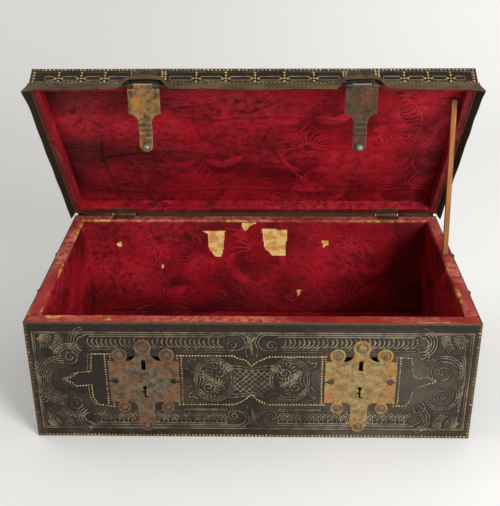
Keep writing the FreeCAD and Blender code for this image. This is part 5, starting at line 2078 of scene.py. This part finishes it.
@dataclass
class Ironwork:
    """The forged iron: lobed lock plates, hasps and their straps, beaten uneven by hand."""

    voxel: float = 0.9
    dent: float = 0.16
    sunk: float = 0.1

    # Each lobe of a lock plate: across from its middle, up from the floor, and its radius
    LOBES = ((0, 175.5, 14.5), (-36.5, 161.5, 12.8), (36.5, 161.5, 12.8), (-35, 61.5, 11), (35, 61.5, 11),
             (0, 25, 11))
    # The materials of the nodes that are shown as packed, by the ends of their names
    PACKED = {"board": "wood", "lock_nails": "brown_plate", "lock_case": "lock_iron",
              "lock_bolt": "lock_iron", "lock_spring": "lock_iron",
              "hinge_base_leaf": "hinge_iron", "hinge_lid_leaf": "hinge_iron",
              "hinge_pin": "dark_iron", "handle_staples": "hinge_iron", "handle_bail": "hinge_iron",
              "hasp_pin": "dark_iron", "hasp_knob": "knob_iron", "prop_stick": "stick_wood"}

    def forged(self, name: str, body: str, node: str, finish: Finish, look: str | None = None,
               chased: bool = False, ribbed: bool = False) -> None:
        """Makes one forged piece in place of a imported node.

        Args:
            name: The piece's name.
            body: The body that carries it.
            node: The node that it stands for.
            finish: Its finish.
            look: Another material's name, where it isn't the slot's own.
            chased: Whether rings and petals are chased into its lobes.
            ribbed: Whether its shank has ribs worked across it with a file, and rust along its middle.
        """
        points, normals, faces = remeshed(node, self.voxel)
        low, size = points.min(0), np.ptp(points, 0)
        place = (points - low) / size
        x = points[:, 0] - low[0] - size[0] / 2
        relief = self.dent * (0.8 * beaten(points, 9, 1) + 0.5 * beaten(points, 3.4, 2)) - self.sunk
        deep = 0.5 * unit(-relief)
        if chased or ribbed:
            proud = self.chasing(x, points[:, 2]) if chased else self.ribs(place[:, 2])
            proud *= unit((-normals[:, 1] - 0.5) * 2.5)
            relief += proud
            deep += unit(-proud)
        rust = 0.25 * beaten(points, 14, 3)
        if ribbed:
            rust += 0.16 * (1.6 * bell(place[:, 0] - 0.5, 0.27) - 0.8)
        if chased:
            away = 2 * np.hypot(place[:, 0] - 0.5, place[:, 2] - 0.5)
            rust = 0.4 * np.clip(away - 0.5, -0.5, 0.7) + 0.14 * beaten(points, 12, 4)
        # The hasps' side edges: partly rubbed bright, partly a painted highlight.
        filed_and_glint = unit((0.85 - np.abs(normals[:, 1])) / 0.3) * ribbed
        piece = mesh_object(name, points + normals * relief[:, None], [faces], body,
                            {"crust": rust, "deep": deep, "filed_and_glint": filed_and_glint})
        dress(piece, finish, node, look=look)

    def chasing(self, x: Array, z: Array) -> Array:
        """Works out how far the rings and petals of a plate's lobes stand proud.

        A ring is a bell curve over the distance from its lobe's middle, with a furrow inside
        it, and the petals are a cosine round it.

        Args:
            x: Places across from the plate's middle.
            z: Their heights.

        Returns:
            The height of the relief at each place.
        """
        relief = np.zeros(len(x))
        for across, up, radius in self.LOBES:
            away = np.hypot(x - across, z - up) / radius
            turn = np.arctan2(z - up, x - across)
            relief += (0.9 * bell(away - 0.78, 0.1) - 0.7 * bell(away - 0.6, 0.08)
                       + 0.5 * np.cos(8 * turn) * unit(1 - np.abs(away - 0.4) / 0.18))
        return relief

    def ribs(self, up: Array) -> Array:
        """How far the filed ribs of a hasp's shank stand proud, by the share of its height."""
        return 0.5 * np.cos(2 * np.pi * (up - 0.12) / 0.08) * unit(1.6 - np.abs(up - 0.34) / 0.11)

    def build(self) -> None:
        """Gives the nodes that are shown as packed their materials and makes the forged pieces."""
        for name, node in frame["nodes"].items():
            for ending, look in self.PACKED.items():
                if name.endswith(ending):
                    node.data.materials.clear()
                    node.data.materials.append(MATERIALS[look])
        for hand, plate, hasp in (("left", "brown_plate", "hasp_ochre"),
                                  ("right", "ochre_plate", "hasp_brown")):
            self.forged(f"{hand}_plate_forged", "trunk_base", f"{hand}_lock_plate", Finish.RUSTY, plate,
                        chased=True)
            self.forged(f"{hand}_hasp_forged", f"{hand}_hasp", f"{hand}_hasp", Finish.DARK, hasp, ribbed=True)
            self.forged(f"{hand}_strap_forged", "lid", f"{hand}_hasp_strap", Finish.DARK)


@dataclass
class PhotoStage:
    """Where the trunk is shown: pale swept paper, soft lights and the camera."""

    half_width: float = 6000
    front: float = -6000
    back: float = 1900
    sweep: float = 700
    wall: float = 2600
    eye: Triple = (21.1, -1231.4, 903.1)
    pitch: float = 24.09
    yaw: float = 1.219
    roll: float = -0.407
    lens: float = 57.71
    shift: float = -0.1189
    aim: float = 0.2
    glow: float = 0.48
    daylight: Colour = (1.0, 0.995, 0.985, 1)

    def paper(self) -> None:
        """Lays the paper: a floor that sweeps up by a quarter circle into a wall."""
        turn = np.linspace(0, math.pi / 2, 24)
        y = np.concatenate([[self.front], self.back - self.sweep + self.sweep * np.sin(turn), [self.back]])
        z = np.concatenate([[0], self.sweep * (1 - np.cos(turn)), [self.wall]])
        right = np.stack([np.full(len(y), self.half_width), y, z], -1)
        points = np.stack([right * [-1, 1, 1], right], 1).reshape(-1, 3)
        faces = quads(np.arange(len(points)).reshape(-1, 2)).reshape(-1, 4)
        sheet = mesh_object("paper", points, [faces], None)
        sheet.data.materials.append(MATERIALS["studio_paper"])

    def light(self, name: str, at: Triple, size: float, power: float, colour: Triple) -> None:
        """Hangs one square soft light that looks at the trunk.

        Args:
            name: The light's name.
            at: Where it hangs, in metres.
            size: Its side.
            power: Its power in watts.
            colour: Its colour.
        """
        lamp = bpy.data.lights.new(name, "AREA")
        lamp.size = size
        lamp.energy = power
        lamp.color = colour
        away = Vector(at) - Vector((0, 0, self.aim))
        turn = away.to_track_quat("Z", "Y").to_matrix().to_4x4()
        add(name, lamp).matrix_world = Matrix.Translation(at) @ turn

    def camera(self) -> None:
        """Puts the camera where the photograph was taken from."""
        pitch, yaw, roll = (math.radians(angle) for angle in (self.pitch, self.yaw, self.roll))
        ahead = Vector((-math.sin(yaw) * math.cos(pitch), math.cos(yaw) * math.cos(pitch), -math.sin(pitch)))
        right = Vector((math.cos(yaw), math.sin(yaw), 0))
        up = right.cross(ahead)
        across = right * math.cos(roll) + up * math.sin(roll)
        top = up * math.cos(roll) - right * math.sin(roll)
        lens = bpy.data.cameras.new("camera")
        lens.lens = self.lens
        lens.sensor_width = 36
        lens.shift_y = self.shift
        eye = add("camera", lens)
        turn = Matrix((across, top, -ahead)).transposed()
        eye.matrix_world = Matrix.Translation(Vector(self.eye) * MM) @ turn.to_4x4()
        bpy.context.scene.camera = eye

    def build(self) -> None:
        """Sets the paper, the lights, the world's light and the camera."""
        self.paper()
        self.light("key", (2.0, -2.3, 1.7), 1.2, 88, (1.0, 0.99, 0.97))
        self.light("fill", (-2.2, 0.35, 2.3), 2.2, 18, (1.0, 1.0, 1.0))
        world = bpy.data.worlds.new("world")
        world.use_nodes = True
        background = world.node_tree.nodes["Background"].inputs
        background["Color"].default_value = self.daylight
        background["Strength"].default_value = self.glow
        bpy.context.scene.world = world
        bpy.context.scene.view_settings.view_transform = "Standard"
        self.camera()


def main() -> None:
    """Makes every material once and then the trunk's looks, piece by piece, on their stage."""
    logging.basicConfig(level=logging.INFO, format="%(name)s %(message)s")
    for finish, recipe in RECIPES.items():
        MATERIALS[finish.value] = recipe.material()
    for recipe in LOOKS:
        MATERIALS[recipe.name] = recipe.material()
    for part in (Ironwork(), BaseLeather(), LidLeather(), Lining(), PhotoStage()):
        log.info("%s", type(part).__name__)
        part.build()


if __name__ == "__main__":
    main()
